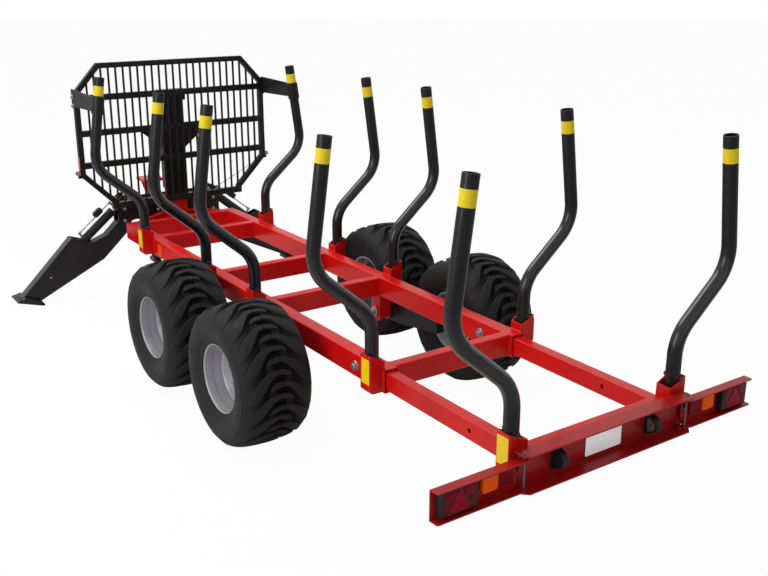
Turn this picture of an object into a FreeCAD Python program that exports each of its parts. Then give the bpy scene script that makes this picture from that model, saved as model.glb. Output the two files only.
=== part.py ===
"""Forestry trailer: twin-beam telescoping bed, five pairs of bent stakes, walking bogies,
headboard grille, flap-down stabiliser legs and an articulated drawbar.

Frame: +X forward (towards the tow eye), +Y left, +Z up, millimetres.
The drawing datum is the bogie pivot line on the ground; every shape is moved by ORIGIN_SHIFT
when it is written, so that the file origin is the middle of the machine's base.
"""
import FreeCAD, Part
import os
import math
from FreeCAD import Vector as V

os.makedirs("parts", exist_ok=True)

# ---------------------------------------------------------------- driving dimensions
# bed
BEAM_Y = 495.0                # centre line of a main beam
BEAM_W = 100.0
BEAM_H = 150.0
BEAM_TOP = 730.0
BEAM_WALL = 7.0
BEAM_CORNER = 9.0             # outer corner radius of the rolled tube
FRONT_X = 2650.0              # front face of the bed frame
BUNK_X = (2050.0, 783.0, -27.0, -1494.0)
REAR_BUNK_X = -2701.0
CROSS_W = 80.0                # bunk cross-beams
CROSS_STEP = 10.0             # they are lower than the main beams by this
EXT_SIDE_GAP = 5.0            # between a sliding beam and the walls beside it
EXT_PAD_GAP = 12.0            # above and below it, taken up by the wear pads
EXT_WALL = 7.0
EXT_OVERLAP = 460.0           # length of sliding beam still inside when drawn out
LOCK_X = -1240.0
SLIDE_TRAVEL = 1080.0

BEAM_IN = BEAM_Y - BEAM_W / 2.0
BEAM_OUT = BEAM_Y + BEAM_W / 2.0
BEAM_LOW = BEAM_TOP - BEAM_H
BEAM_REAR_X = BUNK_X[-1] - 62.0
CROSS_H = BEAM_H - CROSS_STEP
EXT_W = BEAM_W - 2 * (BEAM_WALL + EXT_SIDE_GAP)
EXT_H = BEAM_H - 2 * (BEAM_WALL + EXT_PAD_GAP)
EXT_TOP = BEAM_TOP - BEAM_WALL - EXT_PAD_GAP
EXT_FRONT_X = BEAM_REAR_X + EXT_OVERLAP

# stakes, heights above the beams and reach from the socket
STAKE_D = 82.5
STAKE_WALL = 6.0
STAKE_GAP = 4.75              # between stake and beam
STAKE_KNEE = 325.0
STAKE_ELBOW = 664.0
STAKE_ELBOW_OUT = 396.0
STAKE_TOP = 1400.0
STAKE_TOP_OUT = 293.0
STAKE_BEND_R = 240.0
SOCKET_WALL = 8.0
SOCKET_GAP = 3.0
SOCKET_LIFT_IN = 55.0
SOCKET_LIFT_OUT = 102.0
SOCKET_FOOT = 12.0            # socket's bottom above the beam's

STAKE_Y = BEAM_OUT + STAKE_GAP + STAKE_D / 2.0
SOCKET_HALF = STAKE_D / 2.0 + SOCKET_WALL + SOCKET_GAP
SOCKET_OUT = STAKE_Y + SOCKET_HALF
SOCKET_BOTTOM = BEAM_LOW + SOCKET_FOOT
SOCKET_SEAT = SOCKET_BOTTOM + 20.0

# wheels, 500/50-17 flotation tyres on 16 x 17 rims
TYRE_R = 470.0
TYRE_W = 500.0
RIM_FLANGE_R = 233.0
RIM_SEAT_R = 216.0
RIM_W = 406.0
RIM_WALL = 7.0
DISC_A = -120.0               # wheel disc, from the tyre's centre plane
HUB_R = 88.0
AXLE_R = 32.0
FIT = 0.05                    # radial clearance of a running fit
BOGIE_SPREAD = 567.0          # wheel axle to bogie pivot
BOGIE_W = 100.0
BOGIE_GAP = 17.0              # between bogie and main beam
BOGIE_DROP = 25.0             # pivot below the axles
WHEEL_GAP = 24.0              # between bogie and tyre
PIVOT_R = 45.0
HANGER_T = 14.0

BOGIE_Y0 = BEAM_OUT + BOGIE_GAP
BOGIE_Y1 = BOGIE_Y0 + BOGIE_W
TRACK_HALF = BOGIE_Y1 + WHEEL_GAP + TYRE_W / 2.0
PIVOT_Z = TYRE_R - BOGIE_DROP

# headboard
GRILLE_TUBE = 46.0
GRILLE_X = FRONT_X + 5.0
GRILLE_FRONT_X = GRILLE_X + GRILLE_TUBE
GRILLE_TOP_Z = BEAM_TOP + 1461.0
GRILLE_TOP_Y = 701.0
GRILLE_SHOULDER_Z = BEAM_TOP + 1218.0
GRILLE_SIDE_Y = STAKE_Y + 330.0
GRILLE_SIDE_Z = BEAM_TOP + 477.0
GRILLE_FOOT_Y = 650.0
GRILLE_FOOT_Z = BEAM_TOP + 202.0
GRILLE_BASE_Z = BEAM_TOP + 146.0
GRILLE_RAILS = (BEAM_TOP + 1163.0, BEAM_TOP + 852.0, BEAM_TOP + 566.0)
GRILLE_RAIL_H = 54.0
GRILLE_PITCH = 67.2
GRILLE_BARS = int((GRILLE_SIDE_Y - 1.5 * GRILLE_TUBE) / GRILLE_PITCH)   # each side of the middle one
GRILLE_BAR = 16.0
TOWER_TOP = BEAM_TOP + 255.0
ARM_Z = BEAM_TOP + 1175.0     # sleeves round the first pair of stakes
SLEEVE_WALL = 9.0
SLEEVE_GAP = 0.3

# stabiliser legs
LEG_X = GRILLE_X + 345.0
LEG_PLATE = 10.0
LEG_FOOT = 57.0               # foot plate beyond each side of the leg
LEG_PIVOT = (457.0, 800.0)
LEG_EYE = (880.0, 507.0)
RAM_BASE = (410.0, 895.0)
LEG_PIN_R = 18.0
RAM_R = 40.0
RAM_ROD_R = 19.0
RAM_PIN_R = 15.0
RAM_BARREL = 428.0
RAM_EYE_HALF = 31.0
ROD_EYE_HALF = 27.0
PIN_GAP = 3.0                 # beside an eye on its pin
HOUSING_PLATE = 10.0
LEG_W = 2 * (RAM_R + 4.0 + LEG_PLATE)

# drawbar
DRAW_X = LEG_X + 480.0
DRAW_PIN_R = 40.0
DRAW_LEN = 910.0              # pivot to the centre of the tow eye
DRAW_Z = BEAM_TOP - 140.0     # middle of the pivot boss
EYE_Z = 450.0
EYE_BORE_R = 25.5
EYE_RING_R = 62.0
SPINE_HALF = 88.0
SPINE_H = 160.0
STEER_ARM = 140.0
STEER_BASE = (DRAW_X - 690.0, 190.0)
STEER_Z = DRAW_Z + 10.0
STEER_R = 34.0
STEER_ROD_R = 20.0

# crane base
CRANE_X = DRAW_X - 75.0
CRANE_TOP = BEAM_TOP + 240.0
CRANE_PLATE = 212.0
CRANE_BOLT = 150.0
CRANE_HOLE_R = 11.0

# rear lights
BAR_FRONT_X = REAR_BUNK_X - SOCKET_HALF
BAR_REAR_X = BAR_FRONT_X - 96.75
BAR_HALF = 615.0
BAR_BOTTOM = BEAM_TOP - 185.0
BAR_TOP = BEAM_TOP + 22.0
WING_PIN = (BAR_REAR_X + 45.0, BAR_HALF - 23.0)
WING_PIN_R = 10.0
WING_END = 1140.0
WING_TOP = BAR_TOP - 30.0
WING_BOTTOM = BAR_BOTTOM + 15.0

EYE_FRONT_X = DRAW_X + DRAW_LEN + EYE_RING_R
ORIGIN_SHIFT = V(-(EYE_FRONT_X + BAR_REAR_X) / 2.0, 0, 0)


# ---------------------------------------------------------------- helpers
def box(x0, x1, y0, y1, z0, z1):
    return Part.makeBox(x1 - x0, y1 - y0, z1 - z0, V(x0, y0, z0))


def rod(start, direction, radius, length):
    return Part.makeCylinder(radius, length, V(*start), V(*direction))


def prism_yz(points, x0, x1):
    """Solid with an outline in Y, Z, running from x0 to x1."""
    loop = [V(x0, y, z) for y, z in points]
    face = Part.Face(Part.makePolygon(loop + loop[:1]))
    return face.extrude(V(x1 - x0, 0, 0))


def prism_xz(points, y0, y1):
    """Solid with an outline in X, Z, running from y0 to y1."""
    loop = [V(x, y0, z) for x, z in points]
    face = Part.Face(Part.makePolygon(loop + loop[:1]))
    return face.extrude(V(0, y1 - y0, 0))


def prism_xy(points, z0, z1):
    """Solid with an outline in X, Y, running from z0 to z1."""
    loop = [V(x, y, z0) for x, y in points]
    face = Part.Face(Part.makePolygon(loop + loop[:1]))
    return face.extrude(V(0, 0, z1 - z0))


def fuse(shapes):
    body = shapes[0].multiFuse(shapes[1:]) if len(shapes) > 1 else shapes[0]
    return body.removeSplitter()


def mirror(shape):
    return shape.mirror(V(0, 0, 0), V(0, 1, 0))


def both(shape):
    return [shape, mirror(shape)]


def write(name, shape):
    solids = shape if isinstance(shape, list) else [shape]
    placed = []
    for solid in solids:
        copy = solid.copy()
        copy.translate(ORIGIN_SHIFT)
        placed.append(copy)
    result = placed[0] if len(placed) == 1 else Part.makeCompound(placed)
    result.exportStep("parts/" + name + ".step")


def offset_corner(before, corner, after, distance):
    """Corner of a line that runs to the left of a bent line, at a distance from it."""
    normals = []
    for (y0, z0), (y1, z1) in ((before, corner), (corner, after)):
        length = math.hypot(y1 - y0, z1 - z0)
        normals.append((-(z1 - z0) / length, (y1 - y0) / length))
    (ay, az), (by, bz) = normals
    scale = distance / (1 + ay * by + az * bz)
    return corner[0] + (ay + by) * scale, corner[1] + (az + bz) * scale


def offset_loop(points, distance):
    following = points[1:] + points[:1]
    return [offset_corner(points[i - 1], point, following[i], distance)
            for i, point in enumerate(points)]


def rounded_bar(x0, x1, y0, y1, z0, z1, radius, along=V(1, 0, 0)):
    """Box with its four long edges rounded."""
    bar = box(x0, x1, y0, y1, z0, z1)
    long_edges = [e for e in bar.Edges if e.tangentAt(0).cross(along).Length < 1e-6]
    return bar.makeFillet(radius, long_edges)


def box_tube(x0, x1, y0, y1, z0, z1, wall, corner=BEAM_CORNER):
    """Rolled rectangular tube along X, open at both ends."""
    outer = rounded_bar(x0, x1, y0, y1, z0, z1, corner)
    inner = rounded_bar(x0 - 1, x1 + 1, y0 + wall, y1 - wall, z0 + wall, z1 - wall,
                        max(corner - wall, 1.0))
    return outer.cut(inner)


# ---------------------------------------------------------------- bed frame
def socket(x, beam_top, beam_out):
    """Bent-plate stake socket: a channel welded to the beam's outside, with a collar above it."""
    lip = beam_out - STAKE_GAP - 7.25
    top_in = BEAM_TOP + SOCKET_LIFT_IN
    top_out = BEAM_TOP + SOCKET_LIFT_OUT
    outline = [(beam_out, SOCKET_BOTTOM), (SOCKET_OUT - 20, SOCKET_BOTTOM), (SOCKET_OUT, SOCKET_SEAT),
               (SOCKET_OUT, top_out), (SOCKET_OUT - SOCKET_WALL - 6, top_out),
               (lip + SOCKET_WALL, top_in), (lip, top_in), (lip, beam_top), (beam_out, beam_top)]
    body = prism_yz(outline, x - SOCKET_HALF, x + SOCKET_HALF)
    inner = SOCKET_HALF - SOCKET_WALL
    x0, x1 = x - inner, x + inner
    pocket = box(x0, x1, beam_out, SOCKET_OUT - SOCKET_WALL, SOCKET_SEAT, top_out + 5)
    above = box(x0, x1, lip + SOCKET_WALL, beam_out + 5, beam_top + 1, top_out + 5)
    return body.cut(pocket).cut(above)


def cross_beam(x, y_half, top, height, width):
    return rounded_bar(x - width / 2.0, x + width / 2.0, -y_half, y_half, top - height, top,
                       BEAM_CORNER, V(0, 1, 0))


def main_beams():
    """The two box beams, capped in front, with wear pads in their mouths for the sliding beams."""
    pad = EXT_PAD_GAP - 0.5
    floor = BEAM_LOW + BEAM_WALL
    roof = BEAM_TOP - BEAM_WALL
    half = BEAM_W * 0.3
    parts = [box_tube(BEAM_REAR_X, FRONT_X, BEAM_IN, BEAM_OUT, BEAM_LOW, BEAM_TOP, BEAM_WALL),
             rounded_bar(FRONT_X, FRONT_X + 8, BEAM_IN, BEAM_OUT, BEAM_LOW, BEAM_TOP, BEAM_CORNER)]
    for x in (BEAM_REAR_X + 5, BEAM_REAR_X + 330):
        parts.append(box(x, x + 90, BEAM_Y - half, BEAM_Y + half, floor, floor + pad))
        parts.append(box(x, x + 90, BEAM_Y - half, BEAM_Y + half, roof - pad, roof))
    return both(fuse(parts))


def cross_beams():
    middles = list(BUNK_X) + [FRONT_X - CROSS_W / 2.0]
    return [cross_beam(x, BEAM_IN, BEAM_TOP, CROSS_H, CROSS_W) for x in middles]


def stake_sockets():
    sockets = []
    for x in BUNK_X:
        sockets.extend(both(socket(x, BEAM_TOP, BEAM_OUT)))
    return sockets


# ---------------------------------------------------------------- stakes
def stake(x):
    """Bent tube: upright in the socket, kinked outwards, then leaning in to the top."""
    points = [V(x, STAKE_Y, SOCKET_SEAT), V(x, STAKE_Y, BEAM_TOP + STAKE_KNEE),
              V(x, STAKE_Y + STAKE_ELBOW_OUT, BEAM_TOP + STAKE_ELBOW),
              V(x, STAKE_Y + STAKE_TOP_OUT, BEAM_TOP + STAKE_TOP)]
    edges = []
    start = points[0]
    for i in (1, 2):
        a = (points[i - 1] - points[i]).normalize()
        b = (points[i + 1] - points[i]).normalize()
        half = a.getAngle(b) / 2.0
        tangent = STAKE_BEND_R / math.tan(half)
        p = points[i] + a * tangent
        q = points[i] + b * tangent
        centre_dir = (a + b).normalize()
        mid = points[i] + centre_dir * (STAKE_BEND_R / math.sin(half) - STAKE_BEND_R)
        edges.append(Part.makeLine(start, p))
        edges.append(Part.Arc(p, mid, q).toShape())
        start = q
    edges.append(Part.makeLine(start, points[3]))
    path = Part.Wire(edges)
    r = STAKE_D / 2.0
    outer = Part.Wire(Part.makeCircle(r, points[0], V(0, 0, 1)))
    solid = path.makePipeShell([outer], True, False)
    top_dir = (points[3] - points[2]).normalize()
    bore = Part.makeCylinder(r - STAKE_WALL, 60, points[3] - top_dir * 40, top_dir)
    return solid.cut(bore)


# ---------------------------------------------------------------- bogies and wheels
def bogie_hanger():
    """Bracket under one main beam, with the stub that the bogie beam rocks on."""
    half = PIVOT_R + 15.0
    bottom = PIVOT_Z - PIVOT_R - 30.0
    top = BEAM_LOW
    cheek = [(-half, top), (half, top), (half, bottom + 25), (half - 25, bottom),
             (25 - half, bottom), (-half, bottom + 25)]
    inner = prism_xz(cheek, BEAM_IN, BEAM_IN + HANGER_T)
    outer = prism_xz(cheek, BEAM_OUT - HANGER_T, BEAM_OUT)
    stub = rod((0, BEAM_IN - 12, PIVOT_Z), (0, 1, 0), PIVOT_R, BOGIE_Y1 + 14 - BEAM_IN + 12)
    cap = rod((0, BOGIE_Y1 + 2, PIVOT_Z), (0, 1, 0), PIVOT_R + 18, 12)
    ribs = [box(-half, -half + 12, BEAM_IN, BEAM_OUT, bottom + 25, top),
            box(half - 12, half, BEAM_IN, BEAM_OUT, bottom + 25, top)]
    return fuse([inner, outer, stub, cap] + ribs)


def bogie():
    """Walking beam with a pivot tube in the middle and a stub axle at each end."""
    s = BOGIE_SPREAD
    z = TYRE_R
    deep = PIVOT_R + 40.0
    end = AXLE_R + 13.0
    half = [(s + 55, z - end), (s + 55, z + end), (s - 60, z + end + 15), (120, PIVOT_Z + deep)]
    below = [(s - 60, z - end - 15), (120, PIVOT_Z - deep)]
    outline = half + [(-x, h) for x, h in reversed(half)] + [(-x, h) for x, h in below]
    outline += [(x, h) for x, h in reversed(below)]
    beam = prism_xz(outline, BOGIE_Y0, BOGIE_Y1)
    axles = [rod((x, BOGIE_Y1 - 10, z), (0, 1, 0), AXLE_R, 130) for x in (-s, s)]
    collars = [rod((x, BOGIE_Y1 - 10, z), (0, 1, 0), AXLE_R + 20, 30) for x in (-s, s)]
    body = fuse([beam] + axles + collars)
    return body.cut(rod((0, BOGIE_Y0 - 5, PIVOT_Z), (0, 1, 0), PIVOT_R + FIT, BOGIE_Y1 - BOGIE_Y0 + 10))


def revolve_about_axle(points, x):
    """Turns an outline given as (across the tread, radius) about a wheel's axle."""
    loop = [V(x, TRACK_HALF + a, TYRE_R + r) for a, r in points]
    face = Part.Face(Part.makePolygon(loop + loop[:1]))
    return face.revolve(V(x, TRACK_HALF, TYRE_R), V(0, 1, 0), 360)


def tyre(x):
    """Carcass with round sidewalls and a flat-crowned tread, seated on the rim's flanges."""
    w = TYRE_W / 2.0
    seat = RIM_W / 2.0 - RIM_WALL
    tall = TYRE_R - RIM_FLANGE_R

    def at(a, r):
        return V(x, TRACK_HALF + a, TYRE_R + r)

    def side(s):
        bulge = [(seat, RIM_FLANGE_R), (w, RIM_FLANGE_R + 0.46 * tall), (w - 30, TYRE_R - 0.16 * tall)]
        shoulder = [bulge[2], (w - 49, TYRE_R - 0.095 * tall), (w - 75, TYRE_R - 0.063 * tall)]
        return [Part.Arc(*[at(a * s, r) for a, r in run]).toShape() for run in (bulge, shoulder)]

    crown = Part.Arc(at(w - 75, TYRE_R - 0.063 * tall), at(0, TYRE_R),
                     at(75 - w, TYRE_R - 0.063 * tall)).toShape()
    bead = Part.makePolygon([at(-seat, RIM_FLANGE_R), at(-seat, RIM_SEAT_R), at(seat, RIM_SEAT_R),
                             at(seat, RIM_FLANGE_R)])
    loop = Part.Wire(Part.__sortEdges__(side(1) + [crown] + side(-1) + bead.Edges))
    return Part.Face(loop).revolve(V(x, TRACK_HALF, TYRE_R), V(0, 1, 0), 360)


def rim(x):
    w = RIM_W / 2.0
    t = RIM_WALL
    outer = [(w, RIM_FLANGE_R), (w - t, RIM_FLANGE_R), (w - t, RIM_SEAT_R), (w - 90, RIM_SEAT_R - 4),
             (w - 110, RIM_SEAT_R - 24), (-w + 110, RIM_SEAT_R - 24), (-w + 90, RIM_SEAT_R - 4),
             (-w + t, RIM_SEAT_R), (-w + t, RIM_FLANGE_R), (-w, RIM_FLANGE_R)]
    inner = [(-w, RIM_SEAT_R - t), (-w + 88, RIM_SEAT_R - t - 4), (-w + 108, RIM_SEAT_R - t - 24),
             (w - 108, RIM_SEAT_R - t - 24), (w - 88, RIM_SEAT_R - t - 4), (w, RIM_SEAT_R - t)]
    barrel = revolve_about_axle(outer + inner, x)
    edge = RIM_SEAT_R - 24 - t / 2.0
    bend = HUB_R + 45.0
    disc = [(DISC_A, HUB_R - 18), (DISC_A + 12, HUB_R - 18), (DISC_A + 12, bend - 3),
            (DISC_A + 40, bend + 27), (DISC_A + 40, edge), (DISC_A + 28, edge),
            (DISC_A + 28, bend + 32), (DISC_A, bend + 2)]
    return fuse([barrel, revolve_about_axle(disc, x)])


def hub(x):
    """Hub flange behind the wheel disc, with its grease cap through the middle."""
    a0 = BOGIE_Y1 + 24 - TRACK_HALF
    a1 = a0 + 98
    back = DISC_A - 14
    cap = DISC_A + 62
    outline = [(a0, AXLE_R + FIT), (a0, HUB_R - 24), (back, HUB_R - 24), (back, HUB_R + 27),
               (DISC_A, HUB_R + 27), (DISC_A, HUB_R - 20), (cap - 12, HUB_R - 24), (cap, HUB_R - 40),
               (cap, 0), (a1, 0), (a1, AXLE_R + FIT)]
    return revolve_about_axle(outline, x)


# ---------------------------------------------------------------- headboard
GRILLE_HALF = [(GRILLE_TOP_Y, GRILLE_TOP_Z), (GRILLE_SIDE_Y, GRILLE_SHOULDER_Z),
               (GRILLE_SIDE_Y, GRILLE_SIDE_Z), (GRILLE_FOOT_Y, GRILLE_FOOT_Z),
               (GRILLE_FOOT_Y, GRILLE_BASE_Z)]


def headboard_frame():
    x0 = GRILLE_X
    x1 = GRILLE_FRONT_X
    outline = GRILLE_HALF + [(-y, z) for y, z in reversed(GRILLE_HALF)]
    ring = prism_yz(outline, x0, x1).cut(prism_yz(offset_loop(outline, -GRILLE_TUBE), x0 - 1, x1 + 1))
    foot = box(x0, x1, -GRILLE_FOOT_Y, GRILLE_FOOT_Y, GRILLE_BASE_Z, GRILLE_FOOT_Z)
    h = GRILLE_RAIL_H / 2.0
    reach = GRILLE_SIDE_Y - 10
    rails = [box(x0, x1 - 6, -reach, reach, z - h, z + h) for z in GRILLE_RAILS]
    lug = rod((x0 + 4, GRILLE_SIDE_Y + 18, GRILLE_SIDE_Z + 26), (1, 0, 0), 20, 34)
    plate = box(x0 + 12, x0 + 30, GRILLE_SIDE_Y - 20, GRILLE_SIDE_Y + 18, GRILLE_SIDE_Z - 18,
                GRILLE_SIDE_Z + 40)
    return fuse([ring, foot] + rails + both(lug) + both(plate))


def between(value, low, high):
    """Height at a distance from the middle on the straight line through two points."""
    return low[1] + (value - low[0]) * (high[1] - low[1]) / (high[0] - low[0])


def headboard_bars():
    ring = GRILLE_HALF + [(-y, z) for y, z in reversed(GRILLE_HALF)]
    middle = offset_loop(ring, -GRILLE_TUBE / 2.0)
    half = GRILLE_BAR / 2.0
    bars = []
    for i in range(-GRILLE_BARS, GRILLE_BARS + 1):
        y = i * GRILLE_PITCH
        top = middle[0][1] if abs(y) < middle[0][0] else between(abs(y), middle[0], middle[1])
        bottom = middle[4][1] if abs(y) < middle[3][0] else between(abs(y), middle[3], middle[2])
        bars.append(box(GRILLE_X - GRILLE_BAR, GRILLE_X, y - half, y + half, bottom, top))
    return bars


def headboard_arms():
    """Side plates that tie the headboard to sleeves round the first pair of stakes."""
    z = ARM_Z
    lean = (STAKE_TOP_OUT - STAKE_ELBOW_OUT) / (STAKE_TOP - STAKE_ELBOW)
    y = STAKE_Y + STAKE_ELBOW_OUT + lean * (z - BEAM_TOP - STAKE_ELBOW)
    r = STAKE_D / 2.0
    direction = V(0, lean, 1).normalize()
    x = BUNK_X[0]
    base = V(x, y, z) - direction * 70
    sleeve = Part.makeCylinder(r + SLEEVE_GAP + SLEEVE_WALL, 140, base, direction)
    back, front = GRILLE_X - GRILLE_BAR, GRILLE_FRONT_X - 1
    plate = prism_xz([(x, z - 60), (x, z + 60), (back, z + 75), (front, z + 75), (front, z - 75),
                      (back, z - 75)], GRILLE_SIDE_Y, GRILLE_SIDE_Y + 10)
    body = fuse([sleeve, plate])
    return body.cut(Part.makeCylinder(r + SLEEVE_GAP, 400, base - direction * 100, direction))


def headboard_column():
    """Boxed post behind the rails, with a wide head and a gusset to each side of the middle rail."""
    x0 = GRILLE_FRONT_X
    top = GRILLE_RAILS[0]
    post = box(x0, x0 + 110, -105, 105, TOWER_TOP, top - 31)
    head = box(x0, x0 + 60, -130, 130, top - 81, top + 25)
    mid = GRILLE_RAILS[1]
    gusset = prism_yz([(100, mid + 20), (330, mid + 20), (330, mid - 27), (100, mid - 217)],
                      x0, x0 + 10)
    return fuse([post, head] + both(gusset))


# ---------------------------------------------------------------- front frame
def front_subframe():
    """Spine from the bed's front cross-beam to the drawbar pivot, with the headboard's red tower."""
    h = SPINE_HALF
    low = BEAM_TOP - SPINE_H
    back_x = DRAW_X - 150
    spine = box(FRONT_X, back_x, -h, h, low, BEAM_TOP)
    spine = spine.cut(box(FRONT_X - 1, back_x - 15, 12 - h, h - 12, low + 12, BEAM_TOP - 12))
    tower_x = GRILLE_FRONT_X + 4
    tower = box(tower_x, tower_x + 110, -h, h, BEAM_TOP, TOWER_TOP)
    slot = BEAM_TOP + 140
    tower = tower.cut(box(tower_x - 15, tower_x + 65, -28, 28, slot, slot + 45))
    foot = DRAW_Z - 140
    ears = [box(back_x, DRAW_X + DRAW_PIN_R + 35, -h, h, z, z + 25) for z in (BEAM_TOP - 25, foot)]
    back = box(back_x - 30, back_x, -h, h, foot, BEAM_TOP)
    pin = rod((DRAW_X, 0, foot - 20), (0, 0, 1), DRAW_PIN_R, BEAM_TOP - foot + 20)
    x, y = STEER_BASE
    y1 = y + STEER_R
    arms = [box(x - 45, x + 30, h - 5, y1, z, z + 16) for z in (STEER_Z + 25, STEER_Z - 41)]
    arms.append(box(x - 53, x - 45, h - 5, y1, STEER_Z - 41, STEER_Z + 41))
    arms.append(rod((x, y, STEER_Z - 50), (0, 0, 1), 18, 100))
    braces = []
    for side in (1, -1):
        braces.append(prism_xy([(FRONT_X, BEAM_IN * side), (FRONT_X, (BEAM_IN - 90) * side),
                                (FRONT_X + 200, (h - 5) * side), (FRONT_X + 270, (h - 5) * side)],
                               BEAM_TOP - 60, BEAM_TOP))
    return fuse([spine, tower, back, pin] + ears + both(fuse(arms)) + braces)


def crane_base():
    """Pedestal on the spine with the crane's bolted top plate."""
    t = 25.0
    n = 48.0
    h = CRANE_PLATE / 2.0
    under = CRANE_TOP - t
    plate = box(CRANE_X - h, CRANE_X + h, -h, h, under, CRANE_TOP)
    neck = box(CRANE_X - n, CRANE_X + n, -n, n, BEAM_TOP, under)
    foot = box(CRANE_X - 130, CRANE_X + 130, -SPINE_HALF, SPINE_HALF, BEAM_TOP, BEAM_TOP + 20)
    rib = [(n, under), (h - 8, under), (n, BEAM_TOP + 60)]
    ribs = both(prism_yz(rib, CRANE_X - 8, CRANE_X + 8))
    for side in (1, -1):
        ribs.append(prism_xz([(CRANE_X + side * out, z) for out, z in rib], -8, 8))
    body = fuse([plate, neck, foot] + ribs)
    d = CRANE_BOLT / 2.0
    for x in (-d, d):
        for y in (-d, d):
            body = body.cut(rod((CRANE_X + x, y, under - 5), (0, 0, 1), CRANE_HOLE_R, t + 10))
    return body


# ---------------------------------------------------------------- stabilisers
def housing():
    """Two cheek plates joined by a cross box; the legs hang between the plates."""
    x0 = LEG_X - LEG_W / 2.0 - 6.0
    x1 = LEG_X + LEG_W / 2.0 + 6.0
    foot_y = SPINE_HALF + 39.0
    base = BEAM_TOP + 62
    half = [(0, base), (foot_y, base), (foot_y, base - 120), (219, base - 112), (356, base - 110),
            (392, base - 122), (401, base - 139), (500, base - 137), (522, base - 112), (522, base + 94),
            (455, base + 140), (375, base + 140), (340, base + 92), (0, base + 92)]
    outline = half + [(-y, z) for y, z in reversed(half) if y > 0]
    cheeks = [prism_yz(outline, x0 - HOUSING_PLATE, x0), prism_yz(outline, x1, x1 + HOUSING_PLATE)]
    core = box(x0, x1, -290, 290, base - 52, base + 73)
    pins = []
    for side in (1, -1):
        y, z = LEG_PIVOT
        pins.append(rod((x0 - 22, y * side, z), (1, 0, 0), LEG_PIN_R, x1 - x0 + 44))
        y, z = RAM_BASE
        gap = ROD_EYE_HALF + PIN_GAP
        for a, b in ((x0 - 20, LEG_X - gap), (LEG_X + gap, x1 + 20)):
            pins.append(rod((a, y * side, z), (1, 0, 0), 28, b - a))
    feet = both(box(x0 - HOUSING_PLATE, x1 + HOUSING_PLATE, SPINE_HALF, foot_y, base - 102, base - 32))
    return fuse(cheeks + [core] + pins + feet)


LEG_OUTLINE = [(412, 600), (412, 587), (685, 336), (1315, 30), (1470, 84), (973, 584), (771, 514),
               (641, 562), (524, 674), (512, 720), (512, 800), (487, 845), (427, 845), (402, 800),
               (400, 700)]


def flange(points, thickness, x0, x1):
    """Strip along a run of a plate's edges, on the left side seen along the run."""
    ends = ((points[1], points[0]), (points[-2], points[-1]))
    ahead = [(2 * b[0] - a[0], 2 * b[1] - a[1]) for a, b in ends]
    run = [ahead[0]] + points + [ahead[1]]
    inner = [offset_corner(run[i - 1], run[i], run[i + 1], thickness) for i in range(1, len(run) - 1)]
    return prism_yz(points + inner[::-1], x0, x1)


def leg():
    """Gooseneck leg: two side plates with a flange round the edge, and a foot with a turned-up toe."""
    w = LEG_W / 2.0
    x0 = LEG_X - w
    x1 = LEG_X + w
    plates = [prism_yz(LEG_OUTLINE, x, x + LEG_PLATE) for x in (x0, x1 - LEG_PLATE)]
    runs = [LEG_OUTLINE[1:4], LEG_OUTLINE[4:6], LEG_OUTLINE[6:9]]
    flanges = [flange(run, LEG_PLATE, x0, x1) for run in runs]
    foot = prism_yz([(1293, 0), (1302, 0), (1530, 66), (1530, 80), (1472, 90), (1462, 100),
                     (1310, 42), (1290, 16)], x0 - LEG_FOOT, x1 + LEG_FOOT)
    y, z = LEG_PIVOT
    boss = [rod((x, y, z), (1, 0, 0), LEG_PIN_R + 18, 26) for x in (x0, x1 - 26)]
    y, z = LEG_EYE
    deep = w - RAM_EYE_HALF - PIN_GAP
    eye = [rod((x, y, z), (1, 0, 0), RAM_PIN_R + 19, deep) for x in (x0, x1 - deep)]
    pin = rod((x0 - 8, y, z), (1, 0, 0), RAM_PIN_R, LEG_W + 16)
    body = fuse(plates + flanges + [foot, pin] + boss + eye)
    y, z = LEG_PIVOT
    return body.cut(rod((x0 - 1, y, z), (1, 0, 0), LEG_PIN_R + FIT, LEG_W + 2))


def ram_frame():
    ey, ez = LEG_EYE
    by, bz = RAM_BASE
    length = math.hypot(by - ey, bz - ez)
    return (ey, ez), ((by - ey) / length, (bz - ez) / length), length


def leg_barrel():
    (y, z), (dy, dz), length = ram_frame()
    start = 44.0
    tube = rod((LEG_X, y + dy * start, z + dz * start), (0, dy, dz), RAM_R, RAM_BARREL - start)
    eye = rod((LEG_X - RAM_EYE_HALF, y, z), (1, 0, 0), RAM_PIN_R + 17, 2 * RAM_EYE_HALF)
    neck = rod((LEG_X, y, z), (0, dy, dz), 24, start + 10)
    body = fuse([tube, neck, eye])
    body = body.cut(rod((LEG_X - 40, y, z), (1, 0, 0), RAM_PIN_R + FIT, 80))
    a = 66.0
    bore = rod((LEG_X, y + dy * a, z + dz * a), (0, dy, dz), RAM_ROD_R + FIT, RAM_BARREL)
    return body.cut(bore)


def leg_rod():
    (y, z), (dy, dz), length = ram_frame()
    a = 190.0
    shaft = rod((LEG_X, y + dy * a, z + dz * a), (0, dy, dz), RAM_ROD_R, length - a)
    centre = (LEG_X - ROD_EYE_HALF, y + dy * length, z + dz * length)
    eye = rod(centre, (1, 0, 0), 30, 2 * ROD_EYE_HALF)
    return fuse([shaft, eye])


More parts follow.
